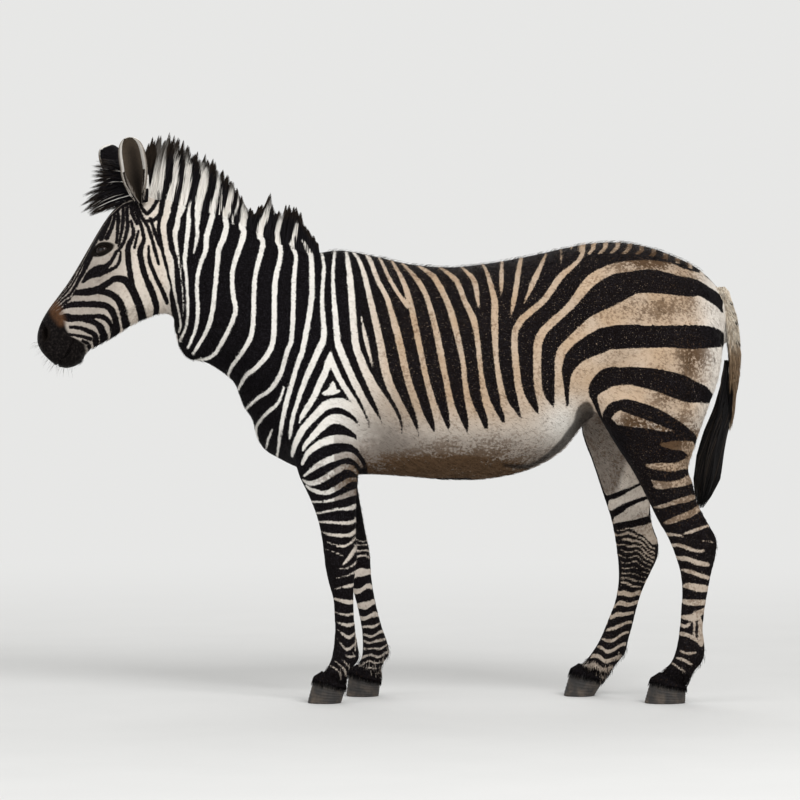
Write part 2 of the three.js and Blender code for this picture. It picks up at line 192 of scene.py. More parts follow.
def make_mesh(name, points, *groups):
    """A mesh from an array of points and groups of faces that have as many corners."""
    mesh = bpy.data.meshes.new(name)
    loops = np.concatenate([g.ravel() for g in groups]).astype(np.int32)
    totals = np.concatenate([np.full(len(g), g.shape[1]) for g in groups]).astype(np.int32)
    starts = np.concatenate([[0], np.cumsum(totals)[:-1]]).astype(np.int32)
    mesh.vertices.add(len(points))
    mesh.vertices.foreach_set("co", np.asarray(points, np.float32).ravel())
    mesh.loops.add(len(loops))
    mesh.loops.foreach_set("vertex_index", loops)
    mesh.polygons.add(len(totals))
    mesh.polygons.foreach_set("loop_start", starts)
    mesh.polygons.foreach_set("loop_total", totals)
    mesh.polygons.foreach_set("use_smooth", np.ones(len(totals), bool))
    mesh.update(calc_edges=True)
    mesh.validate()
    return mesh


def make_object(name, data, finish=None):
    made = bpy.data.objects.new(name, data)
    bpy.context.scene.collection.objects.link(made)
    if finish:
        data.materials.append(finish)
    return made


def make_piece(name, mesh, slot, *replaced):
    """A piece of the zebra, which rides on its one body and stands for the nodes replaced."""
    piece = make_object(name, mesh, finish_of(slot))
    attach(piece, "root")
    if replaced:
        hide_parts(*replaced)
    return piece


def fan(sides, first=0, flip=False):
    """Triangles that close a ring of points, from its first one."""
    tris = np.array([[0, i, i + 1] for i in range(1, sides - 1)]) + first
    return tris[:, ::-1] if flip else tris


def add_field(mesh, name, values):
    """A number for each point, which the materials read, in place of any older one of that name."""
    if name in mesh.attributes:
        mesh.attributes.remove(mesh.attributes[name])
    field = mesh.attributes.new(name, "FLOAT", "POINT")
    field.data.foreach_set("value", np.asarray(values, np.float32))


def read(items, what, width=1, kind=np.float32):
    """One property of all items of a mesh, as an array with width numbers for each."""
    values = np.empty(len(items) * width, kind)
    items.foreach_get(what, values)
    return values.reshape(-1, width) if width > 1 else values


def points_of(mesh):
    return read(mesh.vertices, "co", 3).astype(float)


def normals_of(mesh):
    return read(mesh.vertex_normals, "vector", 3).astype(float)


def set_points(mesh, co):
    mesh.vertices.foreach_set("co", np.asarray(co, np.float32).ravel())
    mesh.update()


def turn_out(mesh):
    """Turns every face of a closed mesh outward."""
    shape = bmesh.new()
    shape.from_mesh(mesh)
    bmesh.ops.recalc_face_normals(shape, faces=shape.faces)
    shape.to_mesh(mesh)
    shape.free()


class Smoother:
    """Moves points towards the average of their neighbours, by a weight for each point."""

    def __init__(self, mesh):
        self.a, self.b = read(mesh.edges, "vertices", 2, np.int32).T
        self.degree = np.maximum(self.total(np.ones(len(mesh.vertices))), 1)

    def total(self, values):
        """The sum of the neighbours' values at each point."""
        count = len(values)
        return np.bincount(self.a, values[self.b], count) + np.bincount(self.b, values[self.a], count)

    def average(self, co):
        return np.stack([self.total(values) / self.degree for values in co.T], 1)

    def relax(self, co, weight, rounds, back=0.0):
        """back undoes part of each step, so that the form keeps its volume."""
        weight = np.broadcast_to(weight, len(co))[:, None]
        for _ in range(rounds):
            co = co + weight * (self.average(co) - co)
            if back:
                co = co - back * weight * (self.average(co) - co)
        return co


def placed(points):
    """Points in the body's millimetres, as rows, to metres in the frame."""
    return np.asarray(points, float) * MM + np.array([OFFSET_X, 0, 0])


def place_of(co):
    """The x, y and z of points in the frame, in the body's own millimetres."""
    return (co[:, 0] - OFFSET_X) / MM, co[:, 1] / MM, co[:, 2] / MM


def loft(ribs, steps, sides, inset, side=0, lean=False):
    """Points and faces, in metres, of the smooth body through a list of ribs."""
    count = (len(ribs) - 1) * steps + 1
    ax, az, bx, bz, w, mid, up, low, out = along(ribs, np.arange(count) / steps).T[:, :, None]
    length = np.hypot(bx - ax, bz - az)
    ux, uz = (bx - ax) / length, (bz - az) / length
    angle = 2 * np.pi * np.arange(sides)[None, :] / sides
    c, s = np.cos(angle), np.sin(angle)
    square = 2 / np.where(c > 0, up, low)
    reach = np.where(c > 0, mid, 1 - mid) * length - inset
    down = mid * length - np.sign(c) * reach * np.abs(c) ** square
    y = side * out + (w - inset) * np.sign(s) * np.abs(s) ** square
    z = az + uz * down
    x = ax + ux * down + leg_lean(z) * lean
    points = placed(np.stack([x, y, z], 2)).reshape(-1, 3)
    caps = np.array([points[:sides].mean(0), points[-sides:].mean(0)])
    quads = grid_faces(count, sides)
    n = len(points)
    ring = np.arange(sides)
    after = np.roll(ring, -1)
    near = np.stack([n + 0 * ring, after, ring], 1)
    far = np.stack([n + 1 + 0 * ring, ring + n - sides, after + n - sides], 1)
    return np.vstack([points, caps]), quads, np.vstack([near, far])


def join_parts(parts):
    """Stacks parts of points and faces into one."""
    first = np.cumsum([0] + [len(part[0]) for part in parts])
    faces = [np.vstack([group + n for group, n in zip(groups, first)]) for groups in list(zip(*parts))[1:]]
    return np.vstack([part[0] for part in parts]), *faces


def leg_lean(z):
    """How far the right foreleg is set back at a height, in mm."""
    return FAR_FORE_LEAN * np.maximum(ELBOW - z, 0)


# Every fleshy loft: its ribs, the steps between them, its sides, its side of the body, if it leans.
LOFTS = [(TRUNK, 12, 120, 0, False), (NECK, 12, 96, 0, False), (HEAD, 10, 96, 0, False),
         (FORELEG, 8, 56, -1, False), (FORELEG, 8, 56, 1, True), (HINDLEG_LEFT, 8, 56, -1, False),
         (HINDLEG_RIGHT, 8, 56, 1, False), (DOCK, 10, 32, 0, False)]


def body_lofts(inset):
    """The body's overlapping lofts, drawn in by inset, in mm."""
    return [loft(ribs, steps, sides, inset, side, lean) for ribs, steps, sides, side, lean in LOFTS]


def fused(parts, voxel):
    """One closed mesh round overlapping parts."""
    lump = make_object("lump", make_mesh("lump", *join_parts(parts)))
    remesh = lump.modifiers.new("fuse", "REMESH")
    remesh.mode = "VOXEL"
    remesh.voxel_size = voxel
    depsgraph = bpy.context.evaluated_depsgraph_get()
    mesh = bpy.data.meshes.new_from_object(lump.evaluated_get(depsgraph))
    bpy.data.objects.remove(lump)
    return mesh


def refine(mesh, inside):
    """Halves every edge whose two ends lie inside, a test on an array of points."""
    chosen = inside(points_of(mesh))
    bm = bmesh.new()
    bm.from_mesh(mesh)
    bm.verts.ensure_lookup_table()
    edges = [e for e in bm.edges if chosen[e.verts[0].index] and chosen[e.verts[1].index]]
    bmesh.ops.subdivide_edges(bm, edges=edges, cuts=1, use_grid_fill=True)
    bm.to_mesh(mesh)
    bm.free()
    mesh.update()


# ---- The skin


def fade(value, low, high):
    """0 at low, 1 at high, smooth between; low may be the larger."""
    t = np.clip((value - low) / (high - low), 0, 1)
    return t * t * (3 - 2 * t)


def bell(value, middle, reach):
    """1 at the middle, falling off smoothly by reach on each side."""
    return np.exp(-((value - middle) / reach) ** 2)


def unit(v):
    return v / np.maximum(np.linalg.norm(v, axis=-1, keepdims=True), 1e-9)


def near_line(co, line):
    """Distance, in mm and seen from the side, from each point to a broken line of (x, z)."""
    x, y, z = place_of(co)
    best = np.full(len(co), 1e9)
    for (x0, z0), (x1, z1) in zip(line[:-1], line[1:]):
        dx, dz = x1 - x0, z1 - z0
        t = np.clip(((x - x0) * dx + (z - z0) * dz) / (dx * dx + dz * dz), 0, 1)
        best = np.minimum(best, np.hypot(x - x0 - t * dx, z - z0 - t * dz))
    return best


# Where one mass of the body runs into another, and how wide the blend is, in mm.
BLENDS = [
    ([(-300, 930), (-200, 1000), (-90, 960)], 70),
    ([(-300, 800), (-310, 700)], 60),
    ([(-60, 850), (-70, 720)], 55),
    ([(-240, 1300), (-440, 880)], 70),
    ([(-690, 1480), (-650, 1180)], 35),
    ([(620, 1010), (700, 1170), (900, 1190), (985, 1050)], 75),
    ([(590, 930), (590, 850)], 55),
    ([(960, 1270), (1010, 1150)], 25),
]

# Muscles, bones and hollows, as lines seen from the side: (line, radius, height), in mm.
FORMS = [
    ([(-135, 1290), (-200, 1080), (-262, 920)], 38, 7),  # ridge of the shoulder blade
    ([(-255, 1230), (-330, 1080), (-385, 930)], 34, -8),  # hollow in front of it
    ([(-70, 1250), (-90, 1080)], 45, -5),  # hollow behind it
    ([(-330, 860), (-325, 820)], 52, 15),  # point of the shoulder
    ([(-100, 1010), (-165, 880)], 62, 13),  # triceps
    ([(-40, 800), (-25, 740)], 42, -15),  # hollow behind the elbow
    ([(-88, 745), (-95, 700)], 24, 9),  # point of the elbow
    ([(-200, 690), (-205, 560)], 22, 4),  # forearm, front muscle
    ([(-125, 690), (-120, 580)], 18, 4),  # forearm, rear muscle
    ([(-160, 690), (-158, 560)], 9, -3),
    ([(-150, 430), (-148, 390)], 24, 4),  # knee
    ([(-118, 330), (-112, 190)], 7, 2.5),  # flexor tendon
    ([(-128, 330), (-124, 190)], 6, -3),
    ([(500, 1150), (560, 1060)], 70, -11),  # hollow of the flank
    ([(575, 1235), (610, 1190)], 42, 12),  # point of the hip
    ([(720, 1160), (800, 1000), (820, 880)], 85, 8),  # thigh
    ([(640, 900), (690, 850)], 48, 11),  # stifle
    ([(905, 1080), (900, 900)], 14, -6),  # groove between the thigh's rear muscles
    ([(790, 720), (840, 620)], 30, 6),  # gaskin
    ([(885, 640), (925, 540)], 15, -8),  # hollow before the hamstring tendon
    ([(905, 500), (900, 440)], 22, 3),  # hock
    ([(938, 340), (928, 190)], 7, 2.5),  # tendon of the hind cannon
    ([(928, 340), (918, 190)], 6, -3),
    ([(-600, 1120), (-520, 1060), (-400, 900)], 24, -6),  # groove of the throat
    # the fold before the stifle
    ([(600, 872), (576, 828), (548, 800), (518, 766), (474, 728), (430, 706)], 15, -9),
    ([(545, 868), (505, 815), (450, 765)], 40, 8),  # fullness above that fold
    ([(-600, 1240), (-480, 1130), (-360, 980)], 46, 6),  # muscle above it
    ([(-560, 1400), (-400, 1300)], 40, 4),
]


def pushed(co, way, move):
    """Points moved along a direction by a number of mm each."""
    return co + way * (move * MM)[:, None]


def press_forms(co, normals, forms, where=1):
    """Pushes the skin out or in along lines seen from the side, where it faces sideways."""
    facing = np.clip(np.abs(normals[:, 1]) * 1.5 - 0.2, 0, 1)
    move = sum(height * bell(near_line(co, line), 0, radius) for line, radius, height in forms)
    return pushed(co, normals, facing * move * where)


def greatest(*values):
    """The greatest value at each point."""
    return functools.reduce(np.maximum, values)


def blend_weights(co):
    return greatest(*(fade(near_line(co, line), radius, radius * 0.3) for line, radius in BLENDS))


# The head's finer forms, in the same form as FORMS.
HEAD_FORMS = [
    ([(-745, 1270), (-760, 1200)], 52, 7),  # cheek
    ([(-700, 1420), (-690, 1300), (-700, 1230)], 14, -4),  # edge behind the jaw
    ([(-835, 1295), (-880, 1255), (-935, 1195)], 9, 4.5),  # crest of the cheekbone
    ([(-860, 1250), (-915, 1190)], 18, -3),  # hollow below it
    ([(-905, 1290), (-950, 1215)], 15, -4),  # hollow beside the nose
    ([(-800, 1425), (-815, 1455)], 17, -6),  # hollow above the eye
    ([(-770, 1380), (-800, 1370)], 12, 3),  # arch behind the eye
    ([(-985, 1160), (-960, 1110)], 20, 3),
    ([(-935, 1050), (-925, 1020)], 14, 4),  # corner of the mouth
    ([(-985, 1040), (-1010, 1020)], 13, 4),  # upper lip
]

MOUTH = [(-938, 1082), (-950, 1052), (-966, 1030), (-984, 1011), (-1000, 994)]


def square_to(axis, way):
    """The direction nearest to way at a right angle to axis."""
    way = np.array(way, float)
    return unit(way - axis * (way @ axis))


EYE_TILT = math.radians(14)


def eye_frame(side):
    """Centre, outward, lengthwise (to the rear corner) and upward directions of one eye."""
    outward = unit(np.array([-0.27, side * 0.94, 0.2]))
    lengthwise = square_to(outward, [math.cos(EYE_TILT), 0, math.sin(EYE_TILT)])
    upward = np.cross(outward, lengthwise) * -side
    x, y, z = EYE_AT
    return placed((x, side * y, z)), outward, lengthwise, upward


EYE_HALF_LENGTH = 23
LID_ARCH = 0.62  # the power that shapes the lids' edges
UPPER_LID = 9.5
LOWER_LID = 7
LID_THICK = 2.4


def eye_place(co, side):
    """Each point's place round an eye, in mm: lengthwise, upward, outward and past the lid's edge."""
    centre, outward, lengthwise, upward = eye_frame(side)
    q = (co - centre) / MM
    a, b, d = q @ lengthwise, q @ upward, q @ outward
    arch = np.clip(1 - (a / EYE_HALF_LENGTH) ** 2, 0, 1) ** LID_ARCH
    past = np.maximum(b - UPPER_LID * arch, -b - LOWER_LID * arch)
    past = np.where(np.abs(a) < EYE_HALF_LENGTH, past, np.hypot(np.abs(a) - EYE_HALF_LENGTH, b))
    return q, a, b, d, past


def open_lids(co, side):
    """Draws the skin over the eyeball as two lids, and behind it inside their opening."""
    centre = eye_frame(side)[0]
    q, a, b, d, past = eye_place(co, side)
    r = np.linalg.norm(q, axis=1)
    close = (r < 60) & (d > 0)
    lid = EYE_RADIUS + LID_THICK
    over = fade(past, 26, 3)
    fold = 1.5 * bell(past, 6.5, 2.2) * (b > 0)
    brow = 5.5 * bell(past, 15, 7) * fade(b, 0, 10)
    target = r + over * (lid - r) + brow - fold * (past < 14)
    target = np.where(past < 0, EYE_RADIUS - 7, target)
    target = np.where((past >= 0) & (past < 1.2), lid - (1.2 - past), target)
    scale = np.where(close, target / np.maximum(r, 1), 1)
    return centre + q * scale[:, None] * MM


NOSTRIL_AT = (-1026, 44, 1100)


def nostril_place(co, side):
    """Distance from a nostril's middle in its own long oval, 1 at the rim, and how far outward."""
    x, y, z = NOSTRIL_AT
    outward = unit(np.array([-0.62, side * 0.78, 0.05]))
    lengthwise = square_to(outward, [-0.12, 0, 1.0])
    across = np.cross(outward, lengthwise)
    q = (co - placed((x, side * y, z))) / MM
    a, b = q @ lengthwise, q @ across
    b = b + 0.009 * a * a * side  # the oval bends like a comma
    return np.hypot(a / 25, b / 11), q @ outward, outward


def open_nostril(co, side):
    oval, depth, outward = nostril_place(co, side)
    near = (np.abs(depth) < 40) & (oval < 3.5)
    return pushed(co, outward, near * (4.5 * bell(oval, 1.45, 0.3) - 19 * fade(oval, 1.05, 0.35)))


def cut_mouth(co, normals):
    d = near_line(co, MOUTH)
    return pushed(co, normals, (place_of(co)[0] < -925) * (1.4 * bell(d, 7, 4) - 4.5 * bell(d, 0, 2.6)))


def in_head(co):
    x, y, z = place_of(co)
    return (x < -650) & (z > 960)


def in_fine_head(co):
    """Round the eyes, nostrils and mouth."""
    fine = near_line(co, MOUTH) < 16
    for side in (-1, 1):
        q, *_, past = eye_place(co, side)
        fine |= (np.linalg.norm(q, axis=1) < 50) & (past < 20)
        fine |= (nostril_place(co, side)[0] < 2.2) & (place_of(co)[0] < -980)
    return fine & in_head(co)


def make_skin(voxel, coat):
    mesh = fused(body_lofts(coat / MM), voxel)
    smoother = Smoother(mesh)
    co = smoother.relax(points_of(mesh), 0.5, 10, back=0.9)
    co = smoother.relax(co, 0.5 * blend_weights(co), 140)
    co = smoother.relax(co, 0.3, 6)
    set_points(mesh, co)
    co = press_forms(co, normals_of(mesh), FORMS)
    set_points(mesh, smoother.relax(co, 0.4, 3))
    refine(mesh, in_head)
    smoother = Smoother(mesh)
    co = smoother.relax(points_of(mesh), 0.5 * in_head(points_of(mesh)), 4, back=0.9)
    set_points(mesh, co)
    co = press_forms(co, normals_of(mesh), HEAD_FORMS, in_head(co))
    set_points(mesh, co)
    refine(mesh, in_fine_head)
    smoother = Smoother(mesh)
    co = points_of(mesh)
    fine = in_fine_head(co)
    co = smoother.relax(co, 0.5 * fine, 3, back=0.9)
    for side in (-1, 1):
        co = open_nostril(co, side)
    set_points(mesh, co)
    co = cut_mouth(co, normals_of(mesh))
    for side in (-1, 1):
        co = open_lids(co, side)
    set_points(mesh, smoother.relax(co, 0.3 * fine, 1))
    return mesh


# ---- Stripes. A stroke lists the x, z and half-width of each of its points, in mm, as seen from the left.

TRUNK_WHITE = [
    [-634, 1680, 5, -634, 1632, 8, -634, 1572, 8, -652, 1512, 12, -659, 1482, 10, -665, 1452, 10,
     -673, 1422, 9, -663, 1350, 8, -652, 1314, 10, -641, 1230, 4, -622, 1134, 3, -627, 1104, 3],
    [-604, 1680, 4, -598, 1602, 9, -597, 1572, 11, -617, 1482, 11, -627, 1452, 8, -632, 1422, 8,
     -638, 1389, 7, -622, 1284, 2, -614, 1200, 2, -614, 1152, 1],
    [-592, 1500, 2, -598, 1452, 6, -598, 1422, 7, -609, 1317, 6, -604, 1269, 5, -600, 1173, 4, -606, 1119, 4,
     -624, 1077, 4],
    [-564, 1668, 2.5, -562, 1632, 5, -549, 1602, 12, -549, 1572, 12, -554, 1542, 14, -564, 1512, 12,
     -569, 1482, 9, -570, 1452, 9, -572, 1422, 6, -572, 1389, 6, -582, 1341, 2.5],
    [-513, 1638, 2, -510, 1602, 5, -507, 1542, 7, -526, 1482, 9, -526, 1452, 8, -544, 1389, 8, -546, 1350, 7,
     -564, 1302, 6, -573, 1245, 6, -570, 1173, 6, -576, 1116, 5, -600, 1056, 4],
    [-468, 1590, 3, -465, 1542, 6, -477, 1482, 8, -488, 1452, 8, -484, 1422, 8, -492, 1389, 9, -507, 1350, 8,
     -513, 1293, 7, -528, 1158, 7, -552, 1092, 6, -585, 1038, 4],
    [-426, 1554, 4, -431, 1452, 10, -437, 1422, 10, -434, 1389, 9, -465, 1293, 7, -465, 1221, 7,
     -459, 1158, 7, -504, 1062, 6, -531, 1029, 5, -576, 1017, 4],
    [-498, 1524, 1, -501, 1482, 4, -507, 1455, 1],
    [-444, 1536, 2.5, -452, 1482, 4, -463, 1452, 5, -465, 1428, 1.5],
    [-345, 1512, 4, -358, 1476, 9, -380, 1422, 11, -385, 1392, 8, -375, 1365, 8, -399, 1266, 7, -405, 1125, 7,
     -423, 1065, 7, -471, 996, 5, -483, 954, 3],
    [-309, 1482, 4, -320, 1452, 8, -334, 1389, 8, -321, 1344, 7, -339, 1245, 8, -342, 1101, 8, -357, 1044, 8,
     -393, 999, 7, -426, 972, 6, -453, 924, 3],
    [-273, 1434, 4, -279, 1398, 6, -291, 1368, 6, -276, 1332, 6, -282, 1260, 7, -288, 1095, 7, -303, 1044, 7,
     -324, 975, 7, -354, 930, 6, -390, 906, 5, -429, 870, 3],
    [-255, 1380, 4, -243, 1353, 5, -231, 1332, 7, -228, 1260, 8, -231, 1185, 8, -256, 1050, 8, -273, 1002, 7,
     -313, 858, 7, -333, 729, 3],
    [-312, 939, 2.5, -330, 891, 5, -369, 855, 5, -396, 816, 4, -390, 780, 2],
    [-348, 810, 2.5, -360, 780, 4, -366, 753, 2],
    [-201, 1350, 3, -192, 1299, 5, -198, 1200, 6, -192, 1095, 8, -208, 1050, 10, -250, 954, 8, -283, 858, 6,
     -292, 810, 6, -296, 780, 1.5],
    [-159, 1350, 4, -165, 1260, 5, -153, 1095, 9, -143, 1050, 10, -101, 954, 10, -65, 886, 10, -46, 850, 12,
     -32, 815, 16],
    [-172, 1044, 3, -177, 1020, 9, -190, 978, 10, -203, 954, 10, -224, 906, 9, -254, 858, 7, -266, 831, 2],
    [-172, 1044, 3, -168, 1014, 9, -140, 954, 8, -94, 882, 8, -70, 828, 7, -66, 795, 3],
    [-165, 956, 1.5, -166, 939, 10, -168, 927, 12],
    [-192, 918, 5, -174, 924, 9, -147, 926, 4],
    [-288, 732, 4, -280, 762, 8, -257, 810, 10, -211, 861, 11, -186, 884, 13, -150, 892, 14, -120, 882, 14,
     -93, 861, 13, -78, 837, 9, -66, 798, 4],
    [-255, 750, 4, -243, 771, 7, -183, 834, 13, -150, 843, 14, -120, 832, 14, -94, 810, 12, -77, 786, 7,
     -72, 765, 4],
    [-258, 708, 4, -240, 741, 8, -210, 765, 10, -174, 780, 12, -144, 783, 12, -108, 777, 10, -84, 756, 8,
     -72, 729, 4],
    [-252, 672, 3, -198, 711, 9, -129, 735, 9, -99, 726, 7, -78, 699, 4],
    [-255, 660, 3, -240, 651, 6, -210, 654, 8, -150, 690, 9, -126, 699, 8, -105, 693, 7, -84, 669, 4],
    [-246, 642, 3, -228, 630, 6, -198, 621, 7, -168, 627, 8, -114, 660, 7, -87, 657, 4],
    [-231, 594, 4, -177, 597, 5, -96, 624, 10, -81, 630, 6],
    [-219, 560, 4, -204, 561, 5, -150, 572, 5, -123, 573, 7, -96, 581, 9, -84, 588, 5],
    [-213, 534, 4, -177, 533, 6, -123, 530, 7, -99, 538, 7, -84, 558, 4],
    [-198, 504, 2.5, -177, 496, 6, -123, 493, 7, -99, 505, 8, -84, 525, 4],
    [-183, 474, 2.5, -150, 461, 5, -126, 463, 6, -105, 477, 5, -87, 498, 3],
    [-189, 453, 1.5, -150, 438, 4, -135, 432, 2],
    [-141, 402, 2.5, -123, 418, 7, -96, 456, 8, -84, 474, 4],
    [-153, 396, 2.5, -123, 394, 4, -87, 418, 5],
    [-156, 364, 2.5, -123, 372, 4, -96, 384, 5],
    [-162, 332, 2.5, -117, 341, 7, -99, 348, 5],
    [-165, 303, 4, -123, 293, 9, -96, 294, 7],
    [-162, 262, 3, -123, 254, 6, -96, 260, 5],
    [-159, 234, 2.5, -123, 223, 7, -96, 230, 5],
    [-156, 214, 2, -123, 187, 7, -108, 192, 6, -90, 210, 4],
    [-153, 184, 2, -123, 150, 6, -90, 177, 3],
    [-132, 134, 2, -114, 128, 4, -96, 132, 2.5],
    [-96, 366, 2, -96, 210, 4, -99, 144, 2.5],
    [-162, 117, 1, -132, 90, 3, -126, 69, 2],
    [-177, 102, 1, -159, 93, 2.5, -144, 78, 2.5, -141, 60, 1],
    [-144, 123, 1, -129, 111, 2.5, -117, 96, 1.5],
    [-126, 1350, 4, -113, 1260, 9, -99, 1080, 10, -81, 1020, 11, -55, 960, 13, 3, 852, 23, 13, 800, 27],
    [-81, 1152, 1, -66, 1080, 6, -45, 996, 1],
    [-105, 1344, 3, -87, 1320, 5, -67, 1260, 7, -25, 1080, 11, 0, 960, 13, 52, 852, 13, 66, 798, 22],
    [-72, 1344, 3, -54, 1320, 6, -31, 1260, 7, -1, 1200, 8, 33, 1080, 12, 60, 960, 12, 99, 846, 13,
     117, 792, 21],
    [-33, 1335, 3, -22, 1320, 4, 7, 1260, 6, 36, 1212, 7, 60, 1182, 9],
    [6, 1323, 3, 21, 1302, 5, 63, 1206, 10, 116, 960, 10, 150, 846, 14, 165, 792, 21],
    [42, 1311, 4, 88, 1260, 9, 119, 1200, 9, 150, 1080, 11, 186, 900, 11, 213, 792, 24],
    [90, 1302, 4, 120, 1284, 8, 144, 1260, 10, 175, 1200, 10, 196, 1140, 11, 224, 1020, 9, 230, 960, 9,
     240, 900, 11, 258, 840, 18, 267, 798, 24],
    [150, 1302, 4, 203, 1260, 9, 229, 1200, 9, 257, 1140, 11, 268, 1080, 9, 282, 960, 9, 294, 900, 13,
     315, 846, 16, 327, 810, 24],
    [213, 1305, 3, 257, 1260, 9, 269, 1200, 7, 274, 1167, 1],
    [282, 1308, 4, 297, 1281, 7, 319, 1200, 11, 320, 1140, 12, 325, 1020, 9, 347, 900, 12, 369, 852, 18,
     381, 816, 27],
    [342, 1323, 5, 340, 1260, 8, 339, 1206, 1.5],
    [402, 1332, 4, 394, 1302, 8, 378, 1200, 9, 366, 1146, 1.5],
    [474, 1338, 4, 439, 1260, 10, 406, 1185, 1.5],
    [519, 1356, 3, 519, 1329, 4, 519, 1302, 1],
    [588, 1374, 4, 582, 1338, 7, 564, 1311, 7, 516, 1268, 11, 471, 1203, 11, 426, 1164, 11, 396, 1134, 12,
     379, 1086, 11, 389, 960, 12, 403, 900, 14, 435, 828, 27],
    [1002, 1218, 4, 945, 1263, 11, 906, 1278, 10, 876, 1284, 12, 846, 1296, 15, 786, 1306, 13, 726, 1302, 16,
     666, 1290, 15, 606, 1256, 17, 546, 1182, 13, 489, 1130, 13, 459, 1095, 14, 448, 1050, 14, 450, 945, 13,
     461, 900, 14, 480, 858, 24],
]
HEAD_BLACK = [
    [-915, 1254, 2.5, -894, 1275, 10, -870, 1286, 16, -846, 1293, 12, -828, 1293, 4, -813, 1302, 3,
     -804, 1320, 3, -802, 1344, 2],
    [-846, 1302, 6, -831, 1314, 4, -812, 1347, 3],
    [-945, 1221, 6, -888, 1226, 10, -867, 1233, 9, -831, 1256, 7, -816, 1264, 8, -786, 1257, 10,
     -760, 1218, 10, -741, 1167, 11, -735, 1134, 11],
    [-888, 1226, 9, -864, 1227, 8, -828, 1216, 8, -802, 1188, 9, -783, 1113, 10],
    [-978, 1173, 2, -948, 1186, 7, -864, 1186, 8, -831, 1172, 8, -816, 1134, 8, -818, 1110, 13,
     -825, 1083, 8],
    [-945, 1146, 8, -909, 1146, 8, -855, 1149, 6, -828, 1122, 6, -825, 1101, 9],
    [-909, 1143, 8, -870, 1128, 8, -852, 1089, 11, -855, 1062, 9],
    [-954, 1119, 2.5, -924, 1116, 4, -882, 1098, 6, -873, 1071, 5, -880, 1050, 4],
    [-969, 1098, 2, -924, 1092, 3, -885, 1080, 4, -879, 1065, 3],
    [-915, 1077, 3, -900, 1068, 4, -894, 1050, 4],
    [-780, 1500, 3, -783, 1467, 4, -780, 1419, 4, -792, 1374, 4, -810, 1346, 3],
    [-774, 1512, 3, -768, 1464, 4, -752, 1428, 3],
    [-770, 1437, 2.5, -763, 1398, 4, -780, 1347, 7, -768, 1251, 7, -762, 1224, 9],
    [-748, 1407, 2, -760, 1356, 2.5],
    [-771, 1503, 3, -742, 1428, 4, -732, 1389, 4, -734, 1371, 5, -743, 1341, 7, -729, 1275, 7, -707, 1224, 8,
     -694, 1176, 7, -699, 1146, 6],
    [-756, 1488, 4, -738, 1449, 4, -717, 1413, 4, -687, 1308, 3],
    [-718, 1362, 2, -712, 1308, 4, -671, 1215, 5, -662, 1191, 4],
    [-711, 1443, 4, -699, 1404, 4, -682, 1368, 7],
    [-714, 1740, 18, -708, 1680, 15, -706, 1620, 8, -714, 1542, 1.5],
    [-726, 1710, 9, -724, 1566, 8, -729, 1512, 4],
    [-651, 1680, 10, -654, 1572, 12, -672, 1512, 8, -676, 1482, 8, -681, 1458, 5, -685, 1392, 5,
     -652, 1257, 3, -649, 1230, 3, -646, 1203, 7, -633, 1104, 4],
    [-744, 1491, 3, -729, 1464, 4, -717, 1461, 4, -693, 1494, 4, -687, 1518, 3],
    [-726, 1438, 2.5, -711, 1436, 4, -696, 1443, 4, -684, 1458, 4, -678, 1479, 4],
    [-795, 1500, 3, -794, 1434, 4, -808, 1359, 1.5],
    [-807, 1491, 3, -810, 1464, 4, -808, 1437, 4, -814, 1371, 2.5],
    [-816, 1485, 3, -824, 1428, 4, -843, 1386, 6],
    [-831, 1464, 3, -834, 1443, 5, -854, 1401, 7, -860, 1383, 6],
    [-846, 1458, 4, -852, 1437, 6, -872, 1398, 7, -879, 1374, 6],
    [-852, 1446, 4, -882, 1395, 5, -915, 1323, 4],
    [-879, 1374, 4, -912, 1305, 4, -984, 1194, 3],
    [-885, 1344, 2.5, -890, 1326, 3, -933, 1251, 5, -984, 1176, 2],
    [-906, 1329, 5, -948, 1263, 8, -990, 1200, 4],
    [-918, 1326, 4, -987, 1227, 4, -1002, 1209, 3],
    [-954, 1203, 2.5, -993, 1158, 1.5],
    [-978, 1150, 4, -963, 1148, 10, -948, 1144, 8],
]
HEAD_WHITE = [
    [-876, 1142, 4, -864, 1138, 6, -852, 1131, 5, -835, 1101, 4, -844, 1062, 2.5],
    [-836, 1296, 2.5, -813, 1320, 4, -807, 1341, 3],
]
